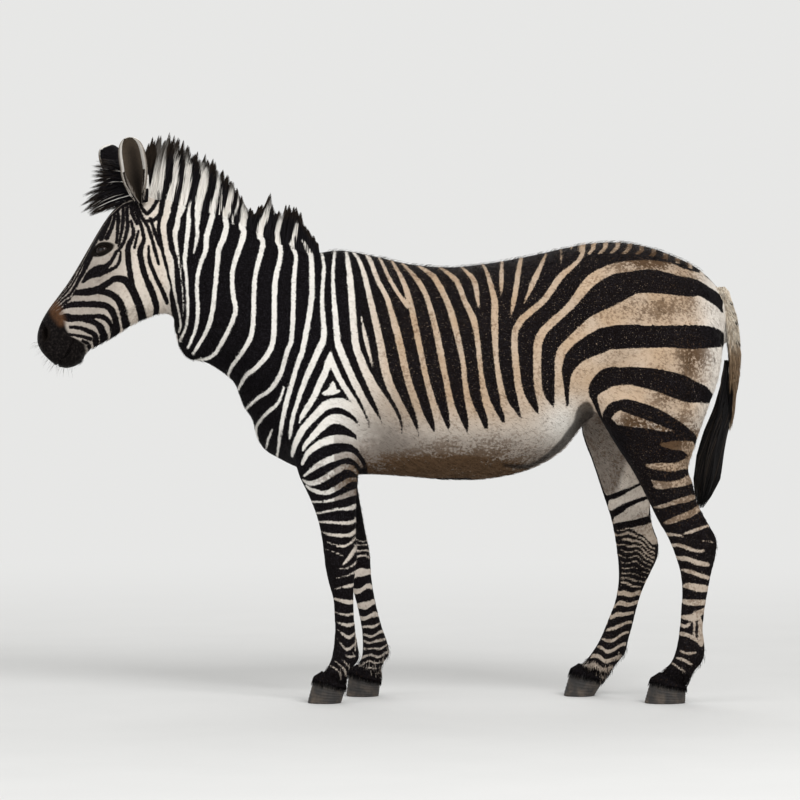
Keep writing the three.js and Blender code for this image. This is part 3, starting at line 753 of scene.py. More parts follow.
HAUNCH_BLACK = [
    [585, 1314, 6, 654, 1310, 4, 690, 1318, 4, 732, 1332, 7, 771, 1330, 8, 807, 1323, 4],
    [825, 1324, 4, 732, 1323, 7, 624, 1299, 10, 594, 1284, 12, 570, 1254, 12, 537, 1206, 13, 420, 1089, 12],
    [1002, 1164, 3, 987, 1191, 10, 936, 1231, 19, 906, 1237, 27, 816, 1252, 33, 756, 1254, 34, 726, 1249, 36,
     666, 1226, 44, 606, 1188, 35, 576, 1160, 27, 516, 1098, 23, 492, 1065, 20, 482, 1026, 17, 483, 978, 16,
     495, 876, 2.5],
    [1008, 1080, 15, 996, 1081, 22, 966, 1088, 32, 906, 1092, 39, 846, 1100, 43, 786, 1100, 44, 666, 1086, 35,
     636, 1076, 36, 576, 1044, 28, 552, 1017, 23, 538, 987, 15, 536, 948, 8, 538, 885, 2.5],
    [972, 903, 9, 954, 910, 21, 936, 920, 28, 906, 926, 34, 876, 939, 38, 816, 958, 34, 756, 969, 30,
     726, 976, 30, 666, 969, 30, 642, 954, 28, 621, 933, 20, 620, 900, 9, 654, 810, 2.5],
    [921, 792, 4, 882, 813, 14, 801, 854, 22, 726, 880, 21, 696, 884, 16, 672, 873, 16, 657, 849, 15,
     654, 816, 9, 666, 780, 9],
    [672, 816, 12, 720, 807, 12, 771, 796, 16, 822, 791, 13, 870, 792, 14, 918, 783, 9, 924, 759, 2.5],
    [690, 768, 15, 732, 750, 20, 771, 732, 16, 810, 734, 18, 852, 730, 19, 879, 733, 14, 897, 732, 4],
    [744, 768, 12, 780, 766, 8, 807, 759, 3],
    [666, 828, 15, 684, 792, 21, 762, 663, 24, 804, 585, 12],
    [756, 690, 12, 786, 676, 15, 846, 670, 15, 882, 678, 13, 909, 687, 6],
    [780, 633, 15, 810, 620, 12, 882, 627, 13, 915, 640, 10],
]
HINDLEG_WHITE = [
    [798, 579, 1.5, 816, 579, 6, 846, 588, 6, 900, 603, 9, 918, 609, 6],
    [828, 531, 2, 846, 535, 8, 906, 558, 10, 930, 573, 9, 942, 582, 5],
    [888, 498, 1.5, 909, 504, 5, 960, 522, 4],
    [822, 501, 2, 840, 496, 5, 864, 495, 4, 888, 489, 2.5],
    [825, 468, 1.5, 846, 464, 4, 876, 463, 6, 924, 447, 5, 948, 447, 4],
    [852, 432, 1.5, 876, 425, 7, 900, 422, 7, 927, 412, 8, 960, 405, 7],
    [945, 477, 1.5, 975, 474, 2.5],
    [879, 390, 1.5, 900, 386, 6, 960, 366, 7],
    [885, 339, 3, 900, 342, 9, 927, 336, 12, 957, 333, 10],
    [879, 300, 3, 900, 292, 9, 954, 291, 9],
    [876, 249, 2.5, 915, 246, 10, 933, 258, 9, 951, 267, 8],
    [876, 228, 2, 891, 219, 4, 906, 226, 3],
    [920, 264, 2.5, 920, 180, 2],
    [934, 264, 3, 937, 225, 4, 935, 180, 2.5],
    [876, 198, 3, 894, 195, 5, 915, 186, 4, 942, 165, 3],
    [936, 246, 3, 942, 205, 8, 942, 165, 5],
    [876, 147, 1, 900, 138, 2.5, 924, 141, 1.5],
    [867, 126, 1, 891, 117, 3, 912, 105, 1.5],
    [855, 108, 1, 894, 81, 1],
]
INNER_HINDLEG_BLACK = [
    [630, 594, 6, 696, 618, 8, 720, 630, 5, 765, 651, 3],
    [642, 537, 9, 696, 570, 10, 720, 585, 7, 774, 606, 5],
    [648, 501, 12, 672, 514, 13, 744, 530, 10, 768, 536, 11, 798, 546, 6],
]

# Dark bars across the inside of a foreleg: height and half-width, in mm.
INNER_FORELEG_BARS = [(640, 13), (600, 13), (560, 12), (520, 10), (488, 7), (472, 4), (456, 6), (438, 5),
                      (408, 17), (354, 14), (309, 15), (264, 10), (231, 9), (204, 9), (180, 6), (159, 7),
                      (138, 8), (115, 7), (96, 7), (78, 7), (58, 9)]

# Where the head's markings end and the neck's begin, inside a black stripe, as (z, x).
HEAD_EDGE = [(1065, -630), (1104, -633), (1140, -636), (1173, -641), (1203, -646), (1230, -649), (1257, -652),
             (1284, -660), (1317, -668), (1341, -674), (1365, -680), (1392, -685), (1422, -685), (1458, -681),
             (1482, -676), (1512, -672), (1542, -663), (1572, -654), (1620, -652), (1770, -651)]
# Where the haunch's markings begin, inside a black stripe: its front edge and its upper edge.
HAUNCH_FRONT = [(690, 495), (876, 495), (930, 486), (978, 482), (1026, 480), (1059, 489)]
HAUNCH_TOP = [(489, 1059), (516, 1098), (546, 1131), (576, 1161), (606, 1188), (636, 1212), (666, 1227),
              (696, 1238), (726, 1248), (756, 1254), (816, 1251), (876, 1240), (906, 1236), (936, 1230),
              (966, 1210), (993, 1173), (1116, 1095)]
SHANK_TOP = [(756, 612), (786, 615), (846, 621), (906, 633), (996, 642)]
# Where the trunk's black stripes end, as x against height, in mm.
BELLY_EDGE = [(-110, 800), (-66, 815), (-15, 819), (51, 792), (93, 788), (156, 777), (195, 781), (246, 790),
              (294, 811), (342, 832), (378, 838), (441, 852), (495, 880), (540, 884), (612, 862), (636, 825)]
REACH = 24.0  # how far from a stroke its field still changes, in mm
FACE_WEIGHT = 1.8  # how much the face's black lines are widened on each side, in mm


def line_value(table, value, column=1):
    """A column of a table where its first column, which rises, has the value given."""
    columns = np.array(table, float).T
    return np.interp(value, columns[0], columns[column])


def stroke_field(u, w, strokes):
    """Half-width less distance, in mm, of the nearest stroke: above 0 on a stroke."""
    best = np.full(len(u), -REACH)
    for stroke in strokes:
        stroke = np.reshape(stroke, (-1, 3))
        count = 4 * (len(stroke) - 1) + 1
        line = along(stroke, np.arange(count) / 4)
        low, high = line[:, :2].min(0) - REACH, line[:, :2].max(0) + REACH
        near = np.flatnonzero((u > low[0]) & (u < high[0]) & (w > low[1]) & (w < high[1]))
        pu, pw, value = u[near], w[near], best[near]
        for (x0, z0, w0), (x1, z1, w1) in zip(line[:-1], line[1:]):
            dx, dz = x1 - x0, z1 - z0
            t = np.clip(((pu - x0) * dx + (pw - z0) * dz) / (dx * dx + dz * dz + 1e-9), 0, 1)
            value = np.maximum(value, w0 + t * (w1 - w0) - np.hypot(pu - x0 - t * dx, pw - z0 - t * dz))
        best[near] = value
    return best


def side_stripes(u, w):
    """The coat seen from the side: above 0 where it is pale, below 0 where it is black, in mm."""
    field = stroke_field(u, w, TRUNK_WHITE)
    belly = line_value(BELLY_EDGE, u) - w
    paler = 0.05 * np.maximum(belly + 70, 0) + 0.8 * np.maximum(belly, 0)
    trunk = (u > np.interp(w, [700, 790], [-60, -95])) & (u < 640)
    field = np.where(trunk, np.maximum(field, np.interp(belly, [-35, 0], [-15, -2.5])) + paler, field)
    haunch = (u > line_value(HAUNCH_FRONT, w)) & (w < line_value(HAUNCH_TOP, u)) & (w > 480)
    thigh = np.maximum(-stroke_field(u, w, HAUNCH_BLACK), stroke_field(u, w, THIGH_EDGE))
    field = np.where(haunch, thigh, field)
    shank = (u > 560) & (w < line_value(SHANK_TOP, u))
    field = np.where(shank, stroke_field(u, w, HINDLEG_WHITE), field)
    head = np.where(w > 1065, u < line_value(HEAD_EDGE, w), u < -690)
    face = np.maximum(-stroke_field(u, w, HEAD_BLACK) - FACE_WEIGHT, stroke_field(u, w, HEAD_WHITE) - 1.0)
    return np.where(head, face, field)


def inner_hind_stripes(u, w):
    """The inside of a hind leg: broad bars above, then fine slanting lines, then bands."""
    bars = -stroke_field(u, w, INNER_HINDLEG_BLACK)
    wave = 4 * np.sin(u / 17 + w / 60) + 3 * np.sin(u / 9 - w / 23)
    depth = 2100 - w - 0.16 * np.maximum(u - 690, 0) - 0.45 * np.maximum(u - 745, 0) + wave
    fine = 3.2 - np.abs((depth - 1608) % 16.2 - 8.1) + 1.2 * np.sin(w / 29 + u / 33)
    bands = 6.5 - np.abs((depth - 1758 + 0.35 * np.abs(u - 655)) % 31 - 10) + 1.5 * np.sin(w / 41)
    return np.where(depth < 1584, bars, np.where(depth < 1755, fine, bands))


def inner_fore_stripes(u, w):
    tilted = w - 0.15 * (u + 78) + 4 * np.sin(u / 13 + w / 37) + 2.5 * np.sin(u / 7 - w / 19)
    field = np.full(len(u), REACH)
    for height, half in INNER_FORELEG_BARS:
        field = np.minimum(field, np.abs(tilted - height) - half)
    middle_z, middle_x = middles(FORELEG)[::-1]
    rear = u - np.interp(w, middle_z, middle_x + leg_lean(middle_z))
    return np.minimum(field, np.where(w > 484, 9 - rear, REACH))


VIEW_AT = (0.036 + OFFSET_X, -16 * math.cos(math.radians(2)), 0.9 + 16 * math.sin(math.radians(2)))


def seen_place(x, y, z):
    """Where the line from the viewing point through each point meets the middle plane, in mm."""
    vx, vy, vz = VIEW_AT
    t = vy / (vy - y)
    return (vx + t * (x - vx) - OFFSET_X) / MM, (vz + t * (z - vz)) / MM


def middles(ribs):
    """Middle of each rib, lowest first, as x and z."""
    table = np.array(ribs)[::-1]
    return (table[:, 0] + table[:, 2]) / 2, (table[:, 1] + table[:, 3]) / 2


def other_leg(x, z, source, target):
    """Carries places, in mm, on one hind leg to the same station of the other."""
    sx, sz = middles(source)
    tx, tz = middles(target)
    weight = fade(x, 450, 620)
    return x + weight * np.interp(z, sz, tx - sx), z + weight * np.interp(z, sz, tz - sz)


def stripes(co):
    """The coat's field at each point, in metres: above 0 pale, below 0 black."""
    x, y, z = place_of(co)
    right = y > 0
    fore, hind = (x < 250) & (z < 700), (x > 450) & (z < 1200)
    ox, oz = other_leg(x, z, HINDLEG_RIGHT, HINDLEG_LEFT)
    outer_x = np.where(right & hind, ox, np.where(right & fore, x - leg_lean(z), x))
    outer_z = np.where(right & hind, oz, z)
    sway = fade(y, 20, 90)
    outer_x = outer_x + sway * 9 * np.sin(outer_z / 61 + 1) * np.cos(outer_x / 97)
    outer_z = outer_z + sway * 8 * np.sin(outer_x / 53) * fade(x, -650, -500)
    u, w = seen_place(outer_x * MM + OFFSET_X, -np.abs(co[:, 1]), outer_z * MM)
    field = side_stripes(u, w)
    # The insides of the legs
    ix, iz = other_leg(x, z, HINDLEG_LEFT, HINDLEG_RIGHT)
    inner_x = np.where(~right & hind, ix, np.where(~right & fore, x + leg_lean(z), x))
    inner_z = np.where(~right & hind, iz, z)
    u, w = seen_place(inner_x * MM + OFFSET_X, np.abs(co[:, 1]), inner_z * MM)
    inside = fade(np.abs(y), 122, 104)
    hind_share = inside * fade(z, 900, 800) * (x > 480)
    fore_share = inside * fade(z, 680, 640) * (x < 250)
    field += hind_share * (inner_hind_stripes(u, w) - field)
    field += fore_share * (inner_fore_stripes(u, w) - field)
    narrower = 2.2 * fade(z, 700, 560) * fade(z, 100, 190) * (1 - 0.6 * (hind_share + fore_share))
    outer_hind = (x > 600) * (1 - hind_share)
    narrower = narrower * (1 - 0.75 * outer_hind) - 1.6 * outer_hind * fade(z, 300, 240)
    field = field - narrower - 0.4 * fade(x, -150, -300) * fade(z, 640, 700)
    field = field - 1.7 * fade(x, -60, 60) * fade(x, 620, 520) * fade(z, 790, 850)
    # The line along the spine and the short bars that cross it over the rump
    spine = np.abs(y)
    back = (z > 1150) & (x > -205)
    bar_end = np.interp(x, [540, 600, 700, 800, 900, 960], [50, 112, 118, 92, 66, 40])
    bars = 6.5 - np.abs((x + 0.3 * spine + 5 * np.sin(spine / 17)) % 36 - 18)
    bars = np.where((spine > 12) & (spine < bar_end), np.minimum(bars, bar_end - spine), -REACH)
    field = np.where(back & (x > 545) & (x < 960), np.maximum(field, bars), field)
    field = np.where(back, np.minimum(field, spine - 10 - 2 * np.sin(x / 31)), field)
    under = (z < 720) & (x > -250) & (x < 560) & (spine < 60)
    field = np.where(under, np.minimum(field, spine - 7), field)
    # Lengthwise lines down the front of the face
    ahead = 0.525 * (z - 1230) - 0.852 * (x + 810)
    bridge = (x < -760) & (z > 1120) & (z < 1500) & (ahead > 20)
    front = fade(spine, 52, 40) * bridge
    spacing = np.interp(z, [1120, 1200, 1300, 1500], [6, 8, 11, 17])
    lines = (np.abs(spine / spacing % 1 - 0.5) - 0.40) * spacing
    field += front * (lines - field)
    # Painted shade, drawn as black hair, where the flank meets the thigh
    fold = bell(outer_x, 748, 62) * bell(outer_z, 762, 44)
    return (field - 26 * fold * (1 - hind_share)) * MM


def on_dock(co):
    """The tail's dock and all that hangs from it."""
    x, y, z = place_of(co)
    front = np.interp(z, [900, 1140, 1200, 1255], [985, 996, 1003, 1040])
    return (x > front) & (np.abs(y) < 45) & (z < 1255)


# Painted shadow of the gap between the haunch and the tail, widening below into the tail's black hair
TAIL_BLACK_AND_GAP_SHADOW = [[1003, 1150, 2, 1004, 1095, 4, 1002, 1050, 5, 994, 975, 10, 978, 900, 20, 957, 825, 27]]
RUST_LINE = [[-1006, 1192, 5, -992, 1166, 6, -976, 1136, 0]]
MUZZLE_EDGE = [(980, -903), (1030, -903), (1068, -905), (1080, -922), (1093, -948), (1113, -960),
               (1150, -972), (1168, -996), (1180, -1035), (1200, -1075)]
# Painted shade on the skin below the fold of the flank, and the pale edge of the thigh beside it.
FLANK_FOLD = [[596, 884, 12, 592, 862, 26, 577, 826, 22, 550, 796, 17, 522, 764, 14, 478, 727, 11,
               436, 704, 8, 396, 700, 7, 350, 704, 4]]
THIGH_EDGE = [[590, 915, 1.5, 606, 896, 3.4, 628, 852, 3, 646, 818, 2.4, 660, 794, 1]]

# Dusty places on the trunk and haunches, and painted shade along the bottom of the belly: middle x and z,
# reach each way in mm, and how strong.
SOILED_AND_SHADED = [(170, 677, 370, 88, 1.6), (270, 722, 290, 90, 1.0), (20, 690, 120, 60, 1.0),
          (820, 800, 140, 90, 1.2), (835, 690, 110, 66, 1.0), (735, 842, 70, 44, 1.2),
          (900, 1035, 62, 90, 1.1), (790, 1330, 180, 66, 1.2), (850, 1000, 90, 70, 0.6),
          (838, 930, 76, 62, 1.0), (790, 1180, 150, 56, 0.8), (690, 1010, 60, 70, 0.5),
          (870, 1180, 80, 50, 0.7), (860, 1270, 90, 60, 0.8)]


COAT_FIELDS = ("stripe", "tan", "dirt", "ash_and_shade", "muzzle", "rust", "lids", "along", "upright")


def paint(mesh, co, along_hair=0.0):
    """Adds every field that the coat's material reads, for points that wear the coat's colours at co."""
    x, y, z = place_of(co)
    field = stripes(co)
    u, w = seen_place(co[:, 0], -np.abs(co[:, 1]), co[:, 2])
    dock = on_dock(co)
    # The dock is pale, with black along the painted shadow of the gap in front of it
    field = np.where(dock, -stroke_field(u, w, TAIL_BLACK_AND_GAP_SHADOW) * MM, field)
    side = fade(np.abs(y), 100, 125)
    thigh = side * fade(x, 640, 760) * fade(z, 860, 790) * fade(z, 440, 560)
    shank = (x > 600) * np.maximum(side, fade(z, 585, 545))
    # Painted shade with dust high on the inside of the hind legs, up to a slanting line towards the rear
    shaded_groin = fade(np.abs(y), 150, 100) * fade(z, 1000, 900) * fade(z, 590, 625) * fade(x, 520, 600)
    shaded_groin = 1.25 * shaded_groin * fade(x - 0.33 * z, 500, 472)
    tan = fade(x, -170, 60) * (1 - 0.75 * fade(x, 880, 975)) * (1 - 0.55 * fade(z, 900, 780))
    tan = np.maximum(tan, 0.45 * fade(x, -600, -680)) * np.where(dock, 0.9, 1)
    tan = greatest(tan, (0.42 + 0.3 * shank) * fade(z, 640, 480), 0.9 * thigh)
    # Painted light: paler hair on the bulge above the fold of the flank
    tan = tan * (1 - 0.85 * bell(x, 520, 80) * bell(z, 840, 80))
    # Dust, and painted shade along the bottom of the belly and in the groin
    soil_and_shade = greatest(0.55 * shaded_groin, 0.8 * thigh, 0.4 * fade(z, 420, 80), 0.45 * fade(z, 720, 600) * shank,
                    0.28 * fade(x, -20, 90) * fade(x, 600, 500) * fade(z, 800, 860))
    for sx, sz, rx, rz, share in SOILED_AND_SHADED:
        soil_and_shade = np.maximum(soil_and_shade, share * np.exp(-(((x - sx) / rx) ** 2 + ((z - sz) / rz) ** 2) ** 1.5))
    # Painted light: less dust and painted shade on the same bulge
    soil_and_shade = soil_and_shade * (1 - 0.9 * bell(x, 530, 52) * bell(z, 858, 62))
    # Greyer pale hair towards the muzzle, on the lower legs and on the jaw, and low behind the elbow; painted
    # shade in the groin and on the belly, darker downwards
    ash_and_shade = (0.9 * fade(x - 0.3 * (z - 1250), -745, -850) + 0.3 * fade(z, 640, 520) * (x < 250)
           + fade(z, 420, 120) * (0.4 + 0.2 * (x > 250)) + 0.3 * fade(z, 720, 600) * fade(z, 300, 420) * shank
           + 0.45 * fade(x, -690, -660) * fade(z, 1270, 1180) * (x < -600)
           + 0.7 * fade(z, 1000, 880) * bell(x, 10, 90) * (z > 600)
           + shaded_groin + fade(z, 890, 730) * (x > -160) * fade(x, 560, 440) * (z > 600))
    muzzle = fade(x - line_value(MUZZLE_EDGE, z), 6, -6) * (z < 1205) * (z > 900)
    rust = fade(stroke_field(x, z, RUST_LINE), -23, -2) * (x < -900)
    # Painted shade below the fold of the flank, in the same dark field as the lids
    lids = 0.8 * fade(stroke_field(u, w, FLANK_FOLD), -4, 4) * (x > 340) * (np.abs(y) > 40)
    # Dark bare skin round each eye
    for side in (-1, 1):
        q, a, b, d, past = eye_place(co, side)
        ring = np.abs(a / 42) ** 1.6 + np.abs((b - 1) / 21.5) ** 1.6
        lids = np.maximum(lids, fade(ring, 1.12, 0.88) * (d > -5) * (np.linalg.norm(q, axis=1) < 70))
    # Painted shade in the hollow of each nostril
    nostril = np.hypot((x + 1022) / 15, (z - 1100 - 0.5 * (x + 1022)) / 24)
    lids = np.maximum(lids, fade(nostril, 1.15, 0.75) * (x < -960))
    # Where hair lies down the leg or the face, not along the body
    upright = np.clip(fade(z, 760, 620) + fade(x, -640, -720) + fade(x, 960, 1000), 0, 1)
    fields = (field, tan, soil_and_shade, ash_and_shade, muzzle, rust, lids, along_hair + 0 * x, upright)
    for name, values in zip(COAT_FIELDS, fields):
        add_field(mesh, name, values)

# ---- Finishes


class Wire:
    """The output of a node. Arithmetic on it adds Math nodes."""

    def __init__(self, finish, socket):
        self.finish = finish
        self.socket = socket

    def maths(self, operation, first, second):
        return self.finish.node("ShaderNodeMath", {"operation": operation}, {0: first, 1: second})

    def __add__(self, other):
        return self.maths("ADD", self, other)

    def __radd__(self, other):
        return self.maths("ADD", other, self)

    def __sub__(self, other):
        return self.maths("SUBTRACT", self, other)

    def __rsub__(self, other):
        return self.maths("SUBTRACT", other, self)

    def __mul__(self, other):
        return self.maths("MULTIPLY", self, other)

    def __rmul__(self, other):
        return self.maths("MULTIPLY", other, self)

    def over(self, other):
        """The greater of the two."""
        return self.maths("MAXIMUM", self, other)

    def rise(self, low, high):
        """A smooth step from 0 at low to 1 at high."""
        sockets = {"Value": self, "From Min": low, "From Max": high, "To Min": 0.0, "To Max": 1.0}
        return self.finish.node("ShaderNodeMapRange", {"interpolation_type": "SMOOTHSTEP"}, sockets)


class Finish:
    """A material in the making, with its nodes."""

    def __init__(self, name, tree=None, **constants):
        self.tree = tree
        if tree:
            return
        self.material = bpy.data.materials.new(name)
        self.material.use_nodes = True
        self.tree = self.material.node_tree
        self.shader = self.tree.nodes["Principled BSDF"]
        for socket, value in constants.items():
            self.shader.inputs[socket.replace("_", " ")].default_value = value

    def node(self, kind, settings=None, sockets=None, output=0):
        """Adds any node: its settings first, then a value or a wire for each socket named."""
        node = self.tree.nodes.new(kind)
        for setting, value in (settings or {}).items():
            setattr(node, setting, value)
        for socket, value in (sockets or {}).items():
            self.feed(node.inputs[socket], value)
        return Wire(self, node.outputs[output])

    def feed(self, socket, value):
        if isinstance(value, Wire):
            self.tree.links.new(value.socket, socket)
        elif socket.type == "RGBA":
            socket.default_value = (*value, 1.0)
        else:
            socket.default_value = value

    def mix(self, share, first, second):
        """From the first colour to the second as share goes from 0 to 1."""
        sockets = {0: share, 6: first, 7: second}
        return self.node("ShaderNodeMix", {"data_type": "RGBA", "clamp_factor": True}, sockets, 2)

    def place(self, stretch=(1, 1, 1)):
        """Places in the piece's own space, in metres, scaled along each axis."""
        where = self.node("ShaderNodeTexCoord", output="Object")
        return self.node("ShaderNodeMapping", None, {"Vector": where, "Scale": stretch})

    def noise(self, scale, detail=2.0, stretch=(1, 1, 1), roughness=0.5):
        sockets = {"Vector": self.place(stretch), "Scale": scale, "Detail": detail, "Roughness": roughness}
        return self.node("ShaderNodeTexNoise", None, sockets)

    def field(self, name):
        return self.node("ShaderNodeAttribute", {"attribute_name": name}, output="Fac")

    def end(self, colour, roughness, relief=None, depth=0.001):
        """Joins the colour, the roughness and the relief to the shader."""
        self.feed(self.shader.inputs["Base Color"], colour)
        self.feed(self.shader.inputs["Roughness"], roughness)
        if relief:
            bump = self.node("ShaderNodeBump", None, {"Height": relief, "Strength": 1.0, "Distance": depth})
            self.feed(self.shader.inputs["Normal"], bump)
        return self.material


FLECK_BROWN = (0.20, 0.11, 0.055)
BLACK_DUSTY = (0.0065, 0.0040, 0.0032)
# Painted sheen on black hair
BLACK_SHEEN = (0.034, 0.031, 0.037)
MUZZLE_SHEEN = (0.045, 0.037, 0.033)
# Dark skin of the lids, also used as painted shade in the nostrils and below the fold of the flank
LID_AND_SHADE = (0.008, 0.006, 0.005)
EAR_GREY = (0.070, 0.058, 0.048)
EAR_BROWN = (0.160, 0.120, 0.085)
EAR_DARK = (0.009, 0.007, 0.006)
EAR_RIM = (0.26, 0.22, 0.18)


def coat_colour(finish, soft=0.0015):
    """The striped coat's colour, from the fields that the mesh carries."""
    colours = settings("colours")
    stripe = finish.field("stripe")
    tan = finish.field("tan")
    ragged = finish.noise(230, 3.0)
    wavy = finish.noise(55, 2.0)
    broad = finish.noise(9, 2.0)
    edge = stripe + (ragged - 0.5) * 0.0075 + (wavy - 0.5) * 0.004
    pale = edge.rise(-soft, soft)
    speck = finish.noise(120, 4.0, roughness=0.65)
    patch = finish.noise(17, 3.0)
    white = finish.mix(tan * (0.62 + broad * 0.6), colours.pale, colours.tan)
    white = finish.mix(speck.rise(0.45, 0.72) * (0.10 + tan * 0.25), white, FLECK_BROWN)
    white = finish.mix(tan * patch.rise(0.50, 0.72) * speck.rise(0.42, 0.60) * 0.55, white, FLECK_BROWN)
    black = finish.mix(tan * (0.25 + broad * 0.7), colours.black, BLACK_DUSTY)
    # Painted sheen: paler flecks on the black hair
    black = finish.mix(finish.noise(420, 2.0).rise(0.49, 0.71) * 0.65, black, BLACK_SHEEN)
    # Greyer pale hair, and painted shade on the belly and in the groin
    white = finish.mix(finish.field("ash_and_shade") * (0.5 + wavy * 0.5), white, colours.ash_and_shade)
    dirt = finish.field("dirt")
    blotch = (speck * 1.1 + patch * 0.75 + dirt * 0.25).rise(1.03, 1.19)
    crumbs = finish.noise(170, 3.0).rise(0.60, 0.64)
    # Dust, with painted shade along the bottom of the belly and in the groin
    white = finish.mix(dirt * 0.30 + blotch * (0.10 + dirt * 0.5), white, colours.dust)
    white = finish.mix(dirt * crumbs * 0.35, white, BLACK_DUSTY)
    black = finish.mix(crumbs * dirt * blotch * 0.4, black, colours.dust)
    black = finish.mix(finish.noise(340, 0.0).rise(0.75, 0.79) * tan.rise(0.5, 0.9) * 0.4, black, white)
    colour = finish.mix(pale, black, white)
    # Painted sheen in patches on the bare muzzle
    sheened_muzzle = finish.mix(finish.noise(150, 3.0).rise(0.45, 0.75) * 0.4, colours.muzzle, MUZZLE_SHEEN)
    colour = finish.mix(finish.field("muzzle"), colour, sheened_muzzle)
    colour = finish.mix(finish.field("rust") * (0.1 + speck * 1.3), colour, colours.rust)
    cup = finish.mix(ragged, EAR_GREY, EAR_BROWN)
    cup = finish.mix(finish.field("ear_dark"), cup, EAR_DARK)
    cup = finish.mix(finish.field("ear_rim"), cup, EAR_RIM)
    colour = finish.mix(finish.field("ear"), colour, cup)
    # Dark lids, and painted shade in the nostrils and below the fold of the flank
    return finish.mix(finish.field("lids"), colour, LID_AND_SHADE)


def coat_finish(name):
    finish = Finish(name, Specular_IOR_Level=0.02)
    colour = coat_colour(finish)
    # Short hair lies along the body on the trunk and down the legs and the face.
    upright = finish.field("upright")
    flat_hair = finish.noise(1.0, 3.0, (210, 900, 900))
    down_hair = finish.noise(1.0, 3.0, (900, 900, 210))
    hair = flat_hair + (down_hair - flat_hair) * upright
    clumps = finish.noise(1.0, 2.0, (60, 190, 190)) * (1 - upright)
    clumps = clumps + finish.noise(1.0, 2.0, (190, 190, 60)) * upright
    smooth = finish.field("muzzle").over(finish.field("lids"))
    roughness = 0.62 - smooth * 0.27 + (hair - 0.5) * 0.2
    return finish.end(colour, roughness, hair * 0.6 + clumps, 0.0016)

# ---- Ears, eyes and hooves

EAR_FIELDS = ("ear", "ear_rim", "ear_dark")


def ear_place(name, u, angle, reach):
    """A point of an ear: u from base to tip, angle round it from its back, reach from its middle."""
    base, tip, opening = (np.array(v, float) for v in EARS[name])
    up = unit(tip - base)
    opening = square_to(up, opening)
    sideways = np.cross(up, opening)
    u, angle, reach = (np.asarray(v, float)[..., None] for v in (u, angle, reach))
    centre = base + (tip - base) * u + opening * 10 * np.sin(np.pi * u)
    return centre + sideways * np.sin(angle) * reach - opening * np.cos(angle) * reach * 0.8


def ear_width(u):
    swell = EAR_BASE + (EAR_WIDEST - EAR_BASE) * np.sin(np.pi / 2 * np.minimum(u / 0.65, 1))
    return swell * np.sqrt(1 - 0.985 * (np.maximum(u - 0.65, 0) / 0.35) ** 3)


def ear_wrap(u):
    return np.radians(150 - 62 * np.minimum(1.8 * u, 1) - 20 * u)


def ear_part(name, rings=56, side=28):
    """A cupped shell round a C-shaped section, with the fields that colour it."""
    u = np.linspace(0, 1, rings)[:, None]
    turn = np.linspace(-1, 1, side)[None, :]
    width, wrap = ear_width(u), ear_wrap(u)
    angle = wrap * turn
    ruffle = 0.5 * np.sin(angle * 9 + 4 * u) * u * (1 - u) * 4
    lip = 1 - 0.35 * np.abs(turn) ** 14
    inner = np.maximum(width - 4.5, width / 3) * np.minimum(0.4 + 2 * u, 1)
    inner = inner + 1.2 * np.cos(angle * 6) * (1 - u)
    outside = ear_place(name, u + 0 * angle, angle, (width + ruffle) * lip)
    inside = ear_place(name, np.minimum(u, 0.985) + 0 * angle, angle, inner * (2 - lip) ** 0.2)[:, ::-1]
    points = np.concatenate([outside, inside], 1).reshape(-1, 3)
    quads = grid_faces(rings, 2 * side)
    strip = np.arange(side - 1)
    caps = []
    for ring, flip in ((0, False), (rings - 1, True)):
        first = ring * 2 * side
        quad = np.stack([first + strip, first + 2 * side - 1 - strip, first + 2 * side - 2 - strip,
                         first + strip + 1], 1)
        caps.append(quad[:, ::-1] if flip else quad)
    quads = np.vstack([quads, *caps])
    out_u, out_turn = u + 0 * turn, turn + 0 * u
    height = out_u + 0.05 * np.sin(out_turn * 5)
    from_rim = np.minimum((1 - np.abs(out_turn)) * wrap * width, (1 - out_u) * 150)
    bands = np.where((height < 0.36) & (height > 0.17) & (from_rim > 5), 10, -10)
    bands = np.where(out_u > 0.5, np.interp(out_u, [0.6, 0.9], [5, 9]) - from_rim, bands)
    dark = bell(out_turn, -0.12, 0.52) * np.interp(out_u, [0, 0.3, 0.75, 0.95], [1, 1, 0.75, 0.1]) * 0.95
    rim = (np.abs(out_turn) > 0.9) * (0.12 + 0.83 * (out_u > 0.8))
    zero = np.zeros((rings, side))
    faces = {"stripe": (bands * MM, zero + 10 * MM), "ear": (zero, zero + 1), "ear_rim": (zero, rim),
             "ear_dark": (zero, dark[:, ::-1])}
    return placed(points), quads, {name: np.concatenate(pair, 1).ravel() for name, pair in faces.items()}


def make_ears(mesh):
    """Adds both ears to the skin, painted."""
    parts = [ear_part(name) for name in EARS]
    fields = {name: [np.zeros(len(mesh.vertices))] for name in EAR_FIELDS}
    for name in COAT_FIELDS:
        fields[name] = [read(mesh.attributes[name].data, "value")]
    for name, values in fields.items():
        values += [part[2].get(name, np.zeros(len(part[0]))) for part in parts]
    ears = make_mesh("ears", *join_parts([part[:2] for part in parts]))
    turn_out(ears)
    shape = bmesh.new()
    shape.from_mesh(mesh)
    shape.from_mesh(ears)
    shape.to_mesh(mesh)
    shape.free()
    for name, values in fields.items():
        add_field(mesh, name, np.concatenate(values))


IRIS_TILT = 0.62  # how far the iris reaches from the gaze, in radians
BULGE_TILT = IRIS_TILT * 1.05
EYE_RINGS = 40
EYE_SIDES = 56


